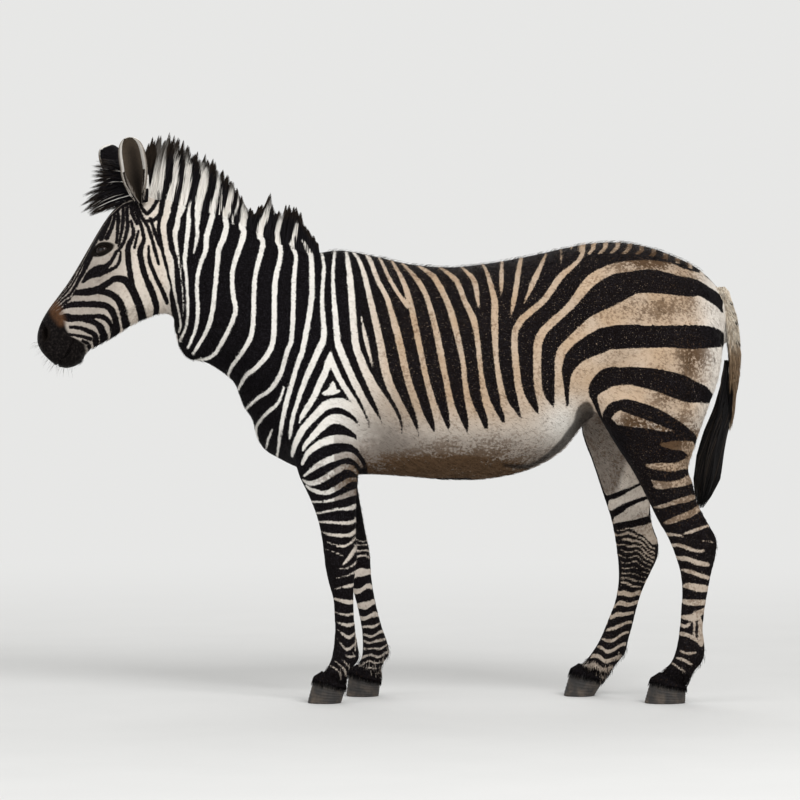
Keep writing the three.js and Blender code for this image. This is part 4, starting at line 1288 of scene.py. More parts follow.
def make_eye(name, side):
    """A ball with a bulge before the iris, in rings from the gaze round to its back."""
    centre, outward, lengthwise, upward = eye_frame(side)
    tilt = np.linspace(0, 1, EYE_RINGS) ** 1.25 * np.pi * 0.999 + 0.001
    turn = np.arange(EYE_SIDES) / EYE_SIDES * 2 * np.pi
    tilt, turn = (values.ravel() for values in np.meshgrid(tilt, turn, indexing="ij"))
    a, b = np.sin(tilt) * np.cos(turn), np.sin(tilt) * np.sin(turn)
    way = np.cos(tilt)[:, None] * outward + a[:, None] * lengthwise + b[:, None] * upward
    bulge = 1.6 * np.clip(np.cos(tilt / BULGE_TILT * np.pi / 2), 0, 1) ** 0.7 * (tilt < BULGE_TILT)
    points = pushed(centre, way, EYE_RADIUS - 0.3 + bulge)
    caps = np.vstack([fan(EYE_SIDES), fan(EYE_SIDES, (EYE_RINGS - 1) * EYE_SIDES, True)])
    mesh = make_mesh(name, points, grid_faces(EYE_RINGS, EYE_SIDES), caps)
    add_field(mesh, "pupil", fade(np.hypot(a / 0.34, b / 0.17), 1.12, 0.9))
    add_field(mesh, "iris", fade(tilt, IRIS_TILT * 1.04, IRIS_TILT * 0.94))
    make_piece(name.replace("eye", "eyeball"), mesh, "eye", name)


def eye_finish(name):
    finish = Finish(name, Coat_Roughness=0.03, Coat_Weight=0.14, Specular_IOR_Level=0.15)
    rays = finish.noise(1200, 3.0)
    iris = finish.mix(rays, (0.006, 0.003, 0.002), (0.020, 0.010, 0.006))
    white = finish.mix(finish.noise(260, 3.0), (0.008, 0.005, 0.004), (0.025, 0.015, 0.011))
    colour = finish.mix(finish.field("iris"), white, iris)
    colour = finish.mix(finish.field("pupil"), colour, (0.002, 0.002, 0.003))
    return finish.end(colour, 0.08 + finish.noise(90, 2.0) * 0.05, finish.noise(500, 2.0), 0.00005)


# Each hoof: the front and back of its top as x, z, the front and back of its foot, and how far
# out it stands from the middle plane, in mm.
HOOVES = {
    "hoof_fore_left": ((-220, 74), (-124, 44), (-240, -138), -115),
    "hoof_fore_right": ((-118, 74), (-22, 44), (-127, -27), 115),
    "hoof_hind_left": ((785, 70), (890, 44), (765, 888), -120),
    "hoof_hind_right": ((554, 78), (656, 46), (531, 625), 120),
}
HOOF_TOP_WIDTH = 40
HOOF_FOOT_WIDTH = 48


def hoof_place(name, rise, turn, scale, rings=0.0):
    """A point of a hoof, in mm: rise from the ground to its top at 1, turn round it from its back."""
    (fx, fz), (bx, bz), (foot_front, foot_back), out = HOOVES[name]
    u = np.clip(rise, 0, 1)
    c, s = np.cos(turn), np.sin(turn)
    front = foot_front + (fx - foot_front) * u
    back = foot_back + (bx - foot_back) * u
    half = HOOF_FOOT_WIDTH + (HOOF_TOP_WIDTH - HOOF_FOOT_WIDTH) * u
    heel = 1 - 0.16 * np.clip(c, 0, 1) ** 2 * (1 - 0.4 * u)
    x = (front + back) / 2 + (np.sign(c) * np.abs(c) ** 0.94 * (back - front) / 2 + rings * c) * scale
    y = out + (np.sign(s) * np.abs(s) ** 0.86 * half * heel + rings * s) * scale
    z = (fz + (bz - fz) * (x - fx) / (bx - fx)) * u + np.maximum(rise - 1, 0) * 160
    cleft = 5 * bell(y, out, 7) * np.clip(c - 0.55, 0, 1) / 0.45 * (u < 0.9)
    return np.stack([x - cleft, y, z], -1)


def make_hoof(name):
    """A horn capsule with growth rings, a bevelled ground edge and a domed top."""
    wall = np.linspace(0.06, 0.94, 44)
    rise = np.concatenate([[0, 0.004, 0.02], wall, [0.97, 1.0, 1.02, 1.035, 1.05, 1.06]])
    swell = 1 + 0.035 * bell(wall, 0.9, 0.08)
    shrink = np.concatenate([[0.5, 0.95, 0.985], swell, [0.98, 0.95, 0.86, 0.74, 0.55, 0.3]])
    sides = 72
    turn = np.arange(sides) / sides * 2 * np.pi
    u = rise[:, None]
    rings = 0.45 * np.sin(u * 46 + 0.6 * np.sin(3 * turn)) * (u > 0.04) * (u < 0.95)
    points = placed(hoof_place(name, u, turn[None, :], shrink[:, None], rings).reshape(-1, 3))
    caps = np.vstack([fan(sides, 0, True), fan(sides, (len(rise) - 1) * sides)])
    mesh = make_mesh(name, points, grid_faces(len(rise), sides), caps)
    add_field(mesh, "height", np.repeat(np.clip(rise, 0, 1), sides))
    make_piece(name.replace("hoof", "horn"), mesh, "horn", name)


HORN_DARK = (0.010, 0.009, 0.009)
HORN_DUST = (0.11, 0.085, 0.065)


def horn_finish(name):
    finish = Finish(name, Specular_IOR_Level=0.4)
    height = finish.field("height")
    grain = finish.noise(1.0, 3.0, (260, 260, 24))
    layers = finish.noise(1.0, 2.0, (12, 12, 420))
    dust = finish.noise(38, 4.0)
    colour = finish.mix(grain * 0.6 + dust * 0.35, HORN_DARK, settings("colours").horn)
    colour = finish.mix(dust.rise(0.40, 0.75) * (0.75 - height * 0.45), colour, HORN_DUST)
    # Painted shade: darker at the top, under the hair that hangs over it
    colour = finish.mix(height.rise(0.82, 1.0) * 0.8, colour, HORN_DARK)
    return finish.end(colour, 0.55 + dust * 0.3, grain * 0.5 + layers, 0.0008)

# ---- Hair: solid blades, each a ridge over a flat back, tapering to a point

PATCH = 0.003  # how much of the map one blade takes


@functools.lru_cache
def opened_body():
    """A tree of the points of the body's own lofts, and each one's place where every loft lies open."""
    parts = body_lofts(0.0)
    tree = KDTree(sum(len(points) for points, *_ in parts))
    places = []
    for number, ((points, *_), (_, _, sides, *_)) in enumerate(zip(parts, LOFTS)):
        row, column = divmod(number, 4)
        index = np.arange(len(points))
        u = (column + 0.04 + 0.92 * (index % sides) / sides) / 4
        v = (row + 0.04 + 0.92 * np.minimum(index // sides / (len(points) // sides), 1)) / 2
        for point, place in zip(points, np.stack([u, v], 1)):
            tree.insert(point, len(places))
            places.append(place)
    tree.balance()
    return tree, np.array(places)


def unwrap(roots):
    """Where each root lies on the opened body."""
    tree, places = opened_body()
    return places[[tree.find(root)[1] for root in roots]]


def blades(lines, half, out, thick=0.5):
    """Points and faces of blades along lines (blade, ring, place), with their ridges turned out."""
    count, rings = lines.shape[0], lines.shape[1] - 1
    way = unit(np.gradient(lines, axis=1))
    side = unit(np.cross(out[:, None, :], way))
    ridge = np.cross(way, side)
    wide = np.broadcast_to(half, (count, rings))[..., None]
    centre = lines[:, :-1]
    side, ridge = side[:, :-1] * wide, ridge[:, :-1] * wide * thick
    corners = np.stack([centre + side - ridge * 0.4, centre + ridge, centre - side - ridge * 0.4], 2)
    points = np.concatenate([corners.reshape(count, rings * 3, 3), lines[:, -1:]], 1)
    tip = rings * 3
    tris = np.array([[0, 2, 1], [tip - 3, tip - 2, tip], [tip - 2, tip - 1, tip], [tip - 1, tip - 3, tip]])
    first = np.arange(count)[:, None, None] * (tip + 1)
    quads = (grid_faces(rings, 3) + first).reshape(-1, 4)
    tris = (tris + first).reshape(-1, 3)
    ring = np.concatenate([np.repeat(np.arange(rings), 3), [rings]]) / rings
    corner = np.concatenate([np.tile([-1, 0, 1], rings), [0]])
    return points.reshape(-1, 3), quads, tris, np.tile(ring, count), np.tile(corner, count)


def add_places(mesh, uv):
    """The map OFBake, from one place per point."""
    layer = mesh.uv_layers.new(name="OFBake")
    layer.data.foreach_set("uv", uv[read(mesh.loops, "vertex_index", 1, np.int32)].astype(np.float32).ravel())


def make_hair(name, lines, half, out, slot, tone, replaced=(), worn=None, extra=None, thick=0.5):
    """One piece of blades, half given in mm.

    Each wears the coat's colours along itself, or those at its point worn. extra holds further fields.
    """
    points, quads, tris, ring, corner = blades(lines, np.multiply(half, MM), out, thick)
    mesh = make_mesh(name, points, quads, tris)
    per = len(points) // len(lines)
    paint(mesh, points if worn is None else np.repeat(lines[:, worn], per, 0), ring)
    for field, values in {"tone": tone, **(extra or {})}.items():
        add_field(mesh, field, np.repeat(values, per))
    spot = np.repeat(unwrap(lines[:, 0]), per, 0)
    add_places(mesh, spot + PATCH * np.stack([corner * 0.4, ring - 0.5], 1))
    return make_piece(name, mesh, slot, *replaced)


def bend_line(start, middle, end, steps):
    """Places at even steps on the curve from start to end that is pulled towards middle."""
    t = np.linspace(0, 1, steps)[None, :, None]
    a, b, c = (p[:, None, :] for p in (start, middle, end))
    return a * (1 - t) ** 2 + 2 * b * t * (1 - t) + c * t ** 2


# The mane, from the poll to the withers: x, the height of its tips and of its roots, in mm.
MANE_LINE = [(-752, 1600, 1490), (-722, 1680, 1480), (-690, 1692, 1475), (-654, 1708, 1468),
             (-626, 1684, 1462), (-600, 1674, 1455), (-564, 1650, 1445), (-528, 1628, 1438),
             (-498, 1602, 1430), (-471, 1570, 1420), (-444, 1530, 1408), (-424, 1488, 1398),
             (-402, 1470, 1386), (-378, 1487, 1374), (-351, 1520, 1360), (-333, 1468, 1352),
             (-303, 1486, 1340), (-264, 1474, 1330), (-246, 1428, 1326), (-225, 1404, 1322),
             (-205, 1362, 1320)]
# How far each part of the mane leans back, as x against lean per unit of height.
MANE_LEAN = [(-752, -0.10), (-722, 0.10), (-680, 0.20), (-600, 0.20), (-520, 0.17), (-440, 0.12),
             (-380, 0.16), (-340, 0.14), (-290, 0.10), (-205, -0.05)]
MANE_CLUMPS = 44
MANE_HALF = 15  # half its width at the roots, in mm
CORE_HEIGHT = 0.72  # the dense core's height, as a share of the mane's


def mane_roots(x):
    return line_value(MANE_LINE, x, 2)


def mane_height(x):
    return line_value(MANE_LINE, x) - mane_roots(x)


def mane_lines(random, count, side):
    """Blades of one side of the mane, gathered in clumps whose tips draw together."""
    tip_x = random.uniform(-752, -206, count)
    centres = np.sort(np.linspace(-750, -208, MANE_CLUMPS) + random.normal(0, 5, MANE_CLUMPS))
    spread = tip_x + random.normal(0, 4, count)
    clump = np.abs(spread[:, None] - centres[None, :]).argmin(1)
    clump_lean = random.normal(0, 0.04, MANE_CLUMPS)[clump]
    clump_height = random.uniform(0.84, 1.03, MANE_CLUMPS)[clump]
    centre = centres[clump]
    tip_x = tip_x + (centre - tip_x) * random.uniform(0.25, 0.85, count)
    share = 0.88 + (clump_height - 0.88) * bell(tip_x, centre, 5)
    share = share * (1 - 0.42 * random.random(count) ** 2.6)
    lean = line_value(MANE_LEAN, tip_x) + clump_lean + random.normal(0, 0.03, count)
    height = mane_height(tip_x) * share
    root_x = np.clip(tip_x - lean * height + (tip_x - centre) * 0.8, -770, -200)
    across = np.abs(random.normal(0.72, 0.24, count)).clip(0, 1.05) * MANE_HALF
    root = np.stack([root_x, side * across, mane_roots(root_x) - across * 0.5], 1)
    tip = np.stack([tip_x, side * across * random.uniform(-0.1, 0.55, count), mane_roots(tip_x) + height], 1)
    middle = (root + tip) / 2
    middle[:, 0] -= 0.05 * height * random.normal(1.0, 0.8, count)
    middle[:, 1] += side * random.uniform(0.5, 5.0, count)
    return placed(bend_line(root, middle, tip, 5))


def make_mane_core():
    """The dense middle of the mane, a fin with a ragged top."""
    stations = np.linspace(-748, -214, 200)
    sides = 16
    turn = np.arange(sides) / sides * 2 * np.pi
    low = mane_roots(stations) - 8
    tall = mane_height(stations) * np.interp(stations, [-735, -672], [0.12, CORE_HEIGHT])
    tall = tall * (1 + 0.05 * np.sin(stations / 3.1) + 0.05 * np.sin(stations / 7.7))
    up = (1 - np.cos(turn)) / 2
    x = stations[:, None] + line_value(MANE_LEAN, stations)[:, None] * tall[:, None] * up * 0.9
    y = (MANE_HALF * 0.86 * (1 - up) ** 0.5 + 2.0)[None, :] * np.sin(turn)[None, :] + 0 * x
    z = low[:, None] + tall[:, None] * up
    points = placed(np.stack([x, y, z], 2).reshape(-1, 3))
    ends = np.vstack([fan(sides, 0, True), fan(sides, sides * (len(stations) - 1))])
    mesh = make_mesh("mane_core", points, grid_faces(len(stations), sides), ends)
    turn_out(mesh)
    paint(mesh, points, np.tile(up * 0.5, len(stations)))
    add_field(mesh, "tone", np.full(len(points), 0.35))
    add_places(mesh, unwrap(points))
    make_piece("mane_core", mesh, "mane_hair", "mane")


def make_mane(count, random):
    make_mane_core()
    for name, side in (("mane_left", -1), ("mane_right", 1)):
        lines = mane_lines(random, count, side)
        out = np.tile([0.0, side, 0.0], (count, 1))
        mesh = make_hair(name, lines, (1.6, 1.5, 1.2, 0.8), out, "mane_hair", random.random(count)).data
        # Measured from the roots to the outline, so that only the mane's outer edge is brown
        x, _, z = place_of(points_of(mesh))
        brown_front = np.interp(x, [-760, -700, -660, -640], [0.36, 0.22, 0.08, 0])
        add_field(mesh, "along", (z - mane_roots(x)) / mane_height(x) + brown_front)


MANE_BROWN = (0.030, 0.021, 0.015)


def mane_finish(name):
    colours = settings("colours")
    finish = Finish(name, Specular_IOR_Level=0.05)
    tone = finish.field("tone")
    pale = (finish.field("stripe") + (tone - 0.5) * 0.006).rise(-0.0016, 0.0016)
    white = finish.mix(tone * 0.3, colours.mane, (0.62, 0.54, 0.44))
    # Dark blades vary at random towards the painted sheen colour
    dark = finish.mix(tone * 0.4, colours.black, BLACK_SHEEN)
    tip = (finish.field("along") + (tone - 0.5) * 0.22).rise(0.64, 0.92)
    colour = finish.mix(tip * 0.9, finish.mix(pale, dark, white), MANE_BROWN)
    strand = finish.noise(1.0, 2.0, (700, 700, 60))
    return finish.end(colour, 0.45 + strand * 0.25, strand, 0.0006)


# Where the tips of the forelock lie, from its top to its bottom: place in that order, x and z in mm.
FORELOCK_TIPS = [(0, -868, 1622), (1, -894, 1605), (2, -903, 1560), (3, -920, 1500), (4, -926, 1464),
                 (5, -914, 1444), (6, -879, 1453)]
FORELOCK_CLUMPS = 18


def forelock_lines(random, count):
    last = FORELOCK_CLUMPS - 1
    order = random.beta(1.25, 1.0, count)
    clump = np.round(order * last + random.normal(0, 0.35, count)) / last
    order = np.clip(order + (clump - order) * 0.78, 0, 1)
    tip_x, tip_z = (line_value(FORELOCK_TIPS, order * 6, column) for column in (1, 2))
    across = random.normal(0, 1, count).clip(-1.8, 1.8)
    root_x = random.normal(-776, 12, count)
    root_z = 1590 - order * 95 + random.normal(0, 7, count)
    root = np.stack([root_x, across * 13, root_z], 1)
    reach = 1 - 0.62 * random.random(count) ** 1.3
    clump_reach = random.uniform(0.86, 1.04, FORELOCK_CLUMPS)
    reach = reach * clump_reach[np.round(clump * last).astype(int).clip(0, last)]
    end = root + (np.stack([tip_x, 0 * tip_x, tip_z], 1) - root) * reach[:, None]
    end[:, 1] = across * 21 + random.normal(0, 6, count)
    middle = (root + end) / 2
    middle[:, 2] += reach * (16 + 12 * order) + random.normal(0, 3, count)
    middle[:, 1] = across * 19
    return placed(bend_line(root, middle, end, 6))


def make_forelock(count, random):
    lines = forelock_lines(random, count)
    flat = 0 * lines[:, 0, 0]
    out = unit(np.stack([flat - 0.6, lines[:, 0, 1] / 0.02, flat + 0.7], 1))
    pale = np.where(random.random(count) < 0.04, 0.004, -0.01)
    make_hair("forelock_hair", lines, (1.6, 1.5, 1.3, 1.0, 0.6), out, "mane_hair", random.random(count),
              ("forelock",), extra={"stripe": pale})


# The tail's long hair: height against its front and back edges and its half-width, in mm.
TAIL_EDGES = [(575, 930, 946, 7), (610, 920, 968, 20), (663, 914, 994, 32), (732, 926, 1006, 36),
              (805, 951, 1022, 36), (870, 978, 1038, 30), (937, 993, 1036, 20), (1060, 1004, 1034, 12),
              (1150, 1004, 1022, 9)]


def tail_lines(random, count, steps=9):
    top = random.uniform(840, 1020, count)
    low = 575 + 235 * random.random(count) ** 2.4
    a, b = random.random(count), random.uniform(-1, 1, count)
    a = np.clip(a + random.normal(0, 0.05, count), 0, 1)
    t = np.linspace(0, 1, steps)[None, :]
    z = top[:, None] + (low - top)[:, None] * t
    front, back, half = (line_value(TAIL_EDGES, z, column) for column in (1, 2, 3))
    gather = 0.35 + 0.65 * fade(t, 0, 0.35)
    spread = 0.5 + (a[:, None] - 0.5) * gather
    x = front + (back - front) * spread + 3 * np.sin(z / 47 + a[:, None] * 19)
    y = b[:, None] * half * gather * np.sqrt(np.clip(1 - (2 * spread - 1) ** 2, 0.05, 1))
    return placed(np.stack([x, y, z], 2))


# The paler hair on the back of the dock: height against its outer edge and length, in mm.
DOCK_EDGE = [(800, 1022, 50), (840, 1030, 60), (890, 1036, 80), (930, 1049, 105), (980, 1057, 95),
             (1030, 1059, 80), (1095, 1055, 55), (1145, 1047, 34), (1185, 1034, 22), (1215, 1018, 14),
             (1243, 995, 10)]


def dock_lines(random, count):
    z = random.uniform(890, 1240, count)
    turn = random.uniform(-1.9, 1.9, count)
    out = np.stack([np.cos(turn), np.sin(turn), 0 * turn], 1)
    ax, az, bx, bz, width = np.array(DOCK)[::-1, :5].T
    middle_x, deep, width = (np.interp(z, (az + bz) / 2, each)
                             for each in ((ax + bx) / 2, np.hypot(ax - bx, az - bz) / 2, width))
    root = np.stack([middle_x + out[:, 0] * deep * 0.9, out[:, 1] * width * 0.9, z], 1)
    reach = line_value(DOCK_EDGE, z, 2) * random.uniform(0.6, 1.1, count)
    flare = line_value(DOCK_EDGE, z - reach) - root[:, 0]
    end = root - np.stack([0 * z, 0 * z, reach], 1)
    end[:, 0] += np.where(out[:, 0] > 0, flare * out[:, 0] * random.uniform(0.4, 1.2, count), -4)
    end[:, 1] += out[:, 1] * (4 + reach * 0.10)
    return placed(bend_line(root, (root + end) / 2 + out * 3, end, 5)), out, z, turn


def tail_finish(name):
    finish = Finish(name, Specular_IOR_Level=0.2)
    black = settings("colours").black
    tone = finish.field("tone")
    dark = finish.mix(tone.rise(0.55, 1.0) * 0.6, black, (0.050, 0.036, 0.026))
    light = finish.mix(tone, (0.52, 0.42, 0.31), (0.80, 0.73, 0.62))
    tan = finish.mix(tone, (0.15, 0.09, 0.048), (0.50, 0.36, 0.23))
    colour = finish.mix(finish.field("pale"), dark, finish.mix(finish.field("brown"), light, tan))
    strand = finish.noise(1.0, 2.0, (700, 700, 60))
    return finish.end(colour, 0.42 + strand * 0.25, strand, 0.0006)


def make_tail(count, random):
    lines = tail_lines(random, count)
    flat = 0 * lines[:, 0, 0]
    out = unit(np.stack([lines[:, 4, 0] - 0.98 - OFFSET_X, lines[:, 4, 1] * 1.5, flat], 1) + 1e-6)
    make_hair("tail_hair", lines, (1.4, 1.6, 1.6, 1.5, 1.4, 1.2, 1.0, 0.6), out, "tail_hair",
              random.random(count) ** 2, ("tail_tuft",), 0, {"pale": flat, "brown": flat})


def make_dock_hair(count, random):
    """Pale, brown and black hair on the dock, with black flecks at its back and black along the painted
    shadow of the gap in front of it.
    """
    lines, out, z, turn = dock_lines(random, count)
    tone = random.random(count) * np.interp(z, [900, 1000, 1100], [1, 0.55, 1])
    brown = fade(z, 1120, 1070) * fade(z, 880, 930)
    root = lines[:, 0]
    # Black hair along the painted shadow of the gap in front of the dock
    black_and_gap_shadow = stroke_field(*seen_place(root[:, 0], -np.abs(root[:, 1]), root[:, 2]), TAIL_BLACK_AND_GAP_SHADOW) > 0
    flecks = (np.sin(z / 5.3 + 2 * np.sin(z / 17)) > 0.72) & (z > 1075) & (np.abs(turn) < 1.0)
    front = (np.cos(turn) < 0.15) & (z < 1000)
    pale = np.where(black_and_gap_shadow | flecks | front, 0.0, 1.0)
    make_hair("tail_dock_hair", lines, (1.4, 1.4, 1.1, 0.7), out, "tail_hair", tone, worn=0,
              extra={"pale": pale, "brown": brown})

# ---- The short coat


def lie(co):
    """The way that hair lies: back and down on the trunk, down the neck and legs, down the face."""
    x, y, z = place_of(co)
    neck, rump, legs = fade(x, -250, -420), fade(x, 820, 980), fade(z, 720, 560)
    head = fade(x - 0.25 * (z - 1300), -640, -740)
    way = np.tile([0.85, 0.0, -0.45], (len(co), 1))
    for share, own in ((neck, (0.45, 0, -0.9)), (rump, (0.25, 0, -1.0)), (head, (-0.55, 0, -0.85)),
                       (legs, (0, 0, -1.0))):
        way = way + share[:, None] * (own - way)
    return way


def skin_samples(mesh, random, count, weight):
    """Places spread over the skin, as often as weight says, with their normals."""
    mesh.calc_loop_triangles()
    tris = read(mesh.loop_triangles, "vertices", 3, np.int32)
    co, normals = points_of(mesh), normals_of(mesh)
    a, b, c = (co[tris[:, i]] for i in range(3))
    chance = np.linalg.norm(np.cross(b - a, c - a), axis=1) * weight((a + b + c) / 3)
    chosen = random.choice(len(tris), count, p=chance / chance.sum())
    u, v = random.random(count), random.random(count)
    flip = u + v > 1
    u, v = np.where(flip, 1 - u, u)[:, None], np.where(flip, 1 - v, v)[:, None]
    a, b, c = tris[chosen].T
    place, normal = (values[a] * (1 - u - v) + values[b] * u + values[c] * v for values in (co, normals))
    return place, unit(normal)


def coat_length(co):
    """How long the coat's hair is at each place, in mm."""
    x, y, z = place_of(co)
    length = np.interp(x, [-1080, -960, -800, -680, -550, -200, 900], [3.5, 4.5, 6, 9, 12, 14, 14])
    return np.where(z < 640, np.interp(z, [60, 200, 640], [7, 7, 11]), length)


def bare(co):
    """1 on haired skin, 0 on the muzzle and round the eyes."""
    x, y, z = place_of(co)
    keep = ~((x < line_value(MUZZLE_EDGE, z) + 6) & (z < 1190) & (x < -890))
    for side in (-1, 1):
        centre = eye_frame(side)[0]
        keep &= np.linalg.norm(co - centre, axis=1) > 30 * MM
    return keep.astype(float)


def tufts(root, normal, random, length, lift, tip_lift):
    """Lines of hair that lie along the skin from each root, raised a little over it."""
    way = lie(root) + random.normal(0, 0.16, root.shape)
    way = unit(way - normal * (way * normal).sum(1)[:, None])
    reach = (length * random.uniform(0.7, 1.25, len(root)) * MM)[:, None]
    middle = root + way * reach * 0.5 + normal * reach * lift
    tip = root + way * reach + normal * reach * tip_lift
    tip[:, 2] = np.maximum(tip[:, 2], 1.5 * MM)
    return np.stack([root - normal * 0.5 * MM, middle, tip], 1)


COAT_PIECES = 3


def coat_density(co):
    return bare(co) * (0.5 + 0.5 * (coat_length(co) < 13))


def make_coat(body, count, random):
    """Short tufts that lie flat all over the skin, shortest and finest on the face and the feet."""
    for number in range(COAT_PIECES):
        root, normal = skin_samples(body, random, count, coat_density)
        length = coat_length(root)
        lines = tufts(root, normal, random, length, 0.035, 0.016)
        half = np.interp(length, [4, 14], [0.5, 0.85])[:, None] * [[1.0, 0.8]]
        make_hair("coat_%d" % (number + 1), lines, half, normal, "striped_coat", random.random(count),
                  worn=1, thick=0.2)


# Longer hair where the coat breaks the form: count, length, lift, and where it grows.
FRINGES = [
    # over the hooves
    (3600, 26, 0.16, lambda x, y, z, n: bell(z, 84 - 15 * n[0], 18) * (z < 118)),
    # behind the fetlocks
    (900, 20, 0.22, lambda x, y, z, n: bell(z, 128, 32) * (n[0] > 0.35) * (z < 190)),
    # under the belly
    (2600, 20, 0.10, lambda x, y, z, n: (n[2] < -0.7) * (x > -250) * (x < 560) * (z > 600) * (z < 800)),
    # the throat and under the jaw
    (1300, 13, 0.20, lambda x, y, z, n: (n[2] < -0.45) * (x < -560) * (x > -925) * (z > 1000)),
    # down the front of the neck and the breast
    (1600, 15, 0.14, lambda x, y, z, n: (n[0] < -0.45) * (x > -640) * (x < -300) * (z > 780) * (z < 1150)),
    # down the backs of the thighs and forearms
    (1800, 16, 0.16, lambda x, y, z, n: (n[0] > 0.6) * (z > 420) * (z < 1150)),
    # along the back
    (1700, 17, 0.30, lambda x, y, z, n: (n[2] > 0.8) * (x > -190) * (x < 980)),
    # round the roots of the ears
    (900, 15, 0.25, lambda x, y, z, n: bell(x, -752, 34) * bell(np.abs(y), 52, 26) * (z > 1440)),
]


def make_fringes(body, random):
    """The longer hair of the coat, as one piece."""
    lines, outs = [], []
    for count, length, lift, rule in FRINGES:
        place, normal = skin_samples(body, random, count * 60, lambda co: np.ones(len(co)))
        chosen = random.random(len(place)) < rule(*place_of(place), normal.T)
        place, normal = place[chosen][:count], normal[chosen][:count]
        lines.append(tufts(place, normal, random, length, lift, lift * 1.2))
        outs.append(normal)
    lines, outs = np.concatenate(lines), np.concatenate(outs)
    make_hair("coat_fringes", lines, (0.8, 0.65), outs, "striped_coat", random.random(len(lines)),
              worn=1, thick=0.4)


def make_fine_hair(name, lines, outs, half, random, **fields):
    """Hair that takes its colour from the fields given, not from the skin it stands on."""
    fields = {"dirt": 0, "muzzle": 0, "ash_and_shade": 0, "rust": 0, **fields}
    make_hair(name, lines, half, outs, "striped_coat", random.random(len(lines)), worn=0,
              extra={field: np.full(len(lines), value) for field, value in fields.items()})


def make_ear_hair(random):
    """Pale hair inside the ears, rooted along both edges of the cup and near its base."""
    lines, outs = [], []
    count = 700
    for name, (base, tip, opening) in EARS.items():
        u = random.beta(1.2, 1.5, count) * 0.86 + 0.04
        side = random.choice([-1, 1], count)
        width, wrap = ear_width(u), ear_wrap(u)
        root = ear_place(name, u, side * wrap * random.uniform(0.88, 0.98, count), width - 2)
        turn = side * wrap * random.uniform(0.2, 0.6, count)
        way = unit(ear_place(name, np.clip(u + 0.10, 0, 1), turn, width * 0.45) - root)
        up = unit(np.subtract(tip, base))
        reach = (random.uniform(10, 26, count) * np.interp(u, [0, 0.5, 0.9], [1.0, 0.8, 0.35]))[:, None]
        middle = root + way * reach * 0.45 + up * reach * 0.25
        end = root + way * reach * 0.7 + up * reach * 0.75
        lines.append(placed(np.stack([root, middle, end], 1)))
        outs.append(np.tile(unit(np.array(opening)), (count, 1)))
    make_fine_hair("ear_hair", np.concatenate(lines), np.concatenate(outs), (0.6, 0.5), random,
                   stripe=0.01, tan=0.3, ear=0.62)


def make_hoof_hair(random):
    """Coarse dark hair that hangs over the top of each hoof."""
    lines, count = [], 900
    for name in HOOVES:
        turn = random.uniform(0, 2 * np.pi, count)
        drop = random.uniform(0.62, 0.92, count)
        aside = turn + random.normal(0, 0.05, count)
        root = hoof_place(name, random.uniform(1.10, 1.17, count), turn, 0.5 + 0.2 * np.abs(np.sin(turn)))
        middle = hoof_place(name, 1.03 + 0 * turn, turn, 1.02)
        tip = hoof_place(name, drop, aside, random.uniform(1.05, 1.10, count))
        lines.append(placed(np.stack([root, middle, tip], 1)))
    lines = np.concatenate(lines)
    outs = unit(lines[:, 2] - lines[:, 0] + [0, 0, 0.03])
    make_fine_hair("hoof_hair", lines, outs, (1.1, 0.9), random, stripe=-0.01, dirt=0.5, tan=0.4)


def make_lashes(random):
    """Lashes along both upper lids."""
    lines, outs = [], []
    count = 68
    for side in (-1, 1):
        centre, outward, lengthwise, upward = eye_frame(side)
        a = np.repeat(np.linspace(-0.9, 0.9, count // 2), 2) + random.normal(0, 0.02, count)
        b = UPPER_LID * (1 - a ** 2) ** LID_ARCH + 1.0
        q = lengthwise * (a * EYE_HALF_LENGTH)[:, None] + upward * b[:, None]
        depth = np.sqrt(np.maximum((EYE_RADIUS + 2) ** 2 - (q ** 2).sum(1), 0))[:, None]
        root = centre + (q + outward * depth) * MM
        reach = random.uniform(9, 15, count)[:, None] * MM
        droop = unit(outward - upward * 0.35 + lengthwise * (a * 0.5)[:, None])
        lines.append(np.stack([root - outward * MM, root + droop * reach * 0.5 - upward * reach * 0.08,
                               root + droop * reach + upward * reach * 0.12], 1))
        outs.append(np.tile(upward, (count, 1)))
    make_fine_hair("lashes", np.concatenate(lines), np.concatenate(outs), (0.45, 0.35), random,
                   stripe=-0.01, tan=0, lids=1)


def lips(co):
    x, y, z = place_of(co)
    return np.where((x < -935) & (z < 1075), 1.0, 0.0)


def make_whiskers(body, random):
    """Stiff single hairs on the lips and the chin."""
    root, normal = skin_samples(body, random, 110, lips)
    reach = random.uniform(12, 34, 110)[:, None] * MM
    way = unit(normal + random.normal(0, 0.25, root.shape) + [-0.15, 0.0, -0.35])
    middle = root + way * reach * 0.5
    tip = root + way * reach - np.array([0, 0, 0.15]) * reach
    make_fine_hair("whiskers", np.stack([root - normal * MM, middle, tip], 1), normal, (0.32, 0.26), random,
                   stripe=-0.01, tan=0, lids=1)

# ---- Stage

CAMERA_DISTANCE = 16.0
CAMERA_RISE = math.radians(2.0)
FLOOR_REACH = 60.0
FLOOR_FADE = (1.6, 6.5)  # how far from the middle the floor begins and ends to fade, in metres


def place_object(name, data, where, turn):
    piece = make_object(name, data)
    piece.location = where
    piece.rotation_euler = turn
    return piece


def make_camera(width, middle):
    """A camera at the side, a little above the middle of the body."""
    data = bpy.data.cameras.new("camera")
    data.sensor_width = 36
    data.lens = data.sensor_width * CAMERA_DISTANCE / width
    data.clip_end = 100
    along_it, height = middle
    where = (along_it + OFFSET_X, -CAMERA_DISTANCE * math.cos(CAMERA_RISE),
             height + CAMERA_DISTANCE * math.sin(CAMERA_RISE))
    bpy.context.scene.camera = place_object("camera", data, where, (math.pi / 2 - CAMERA_RISE, 0, 0))


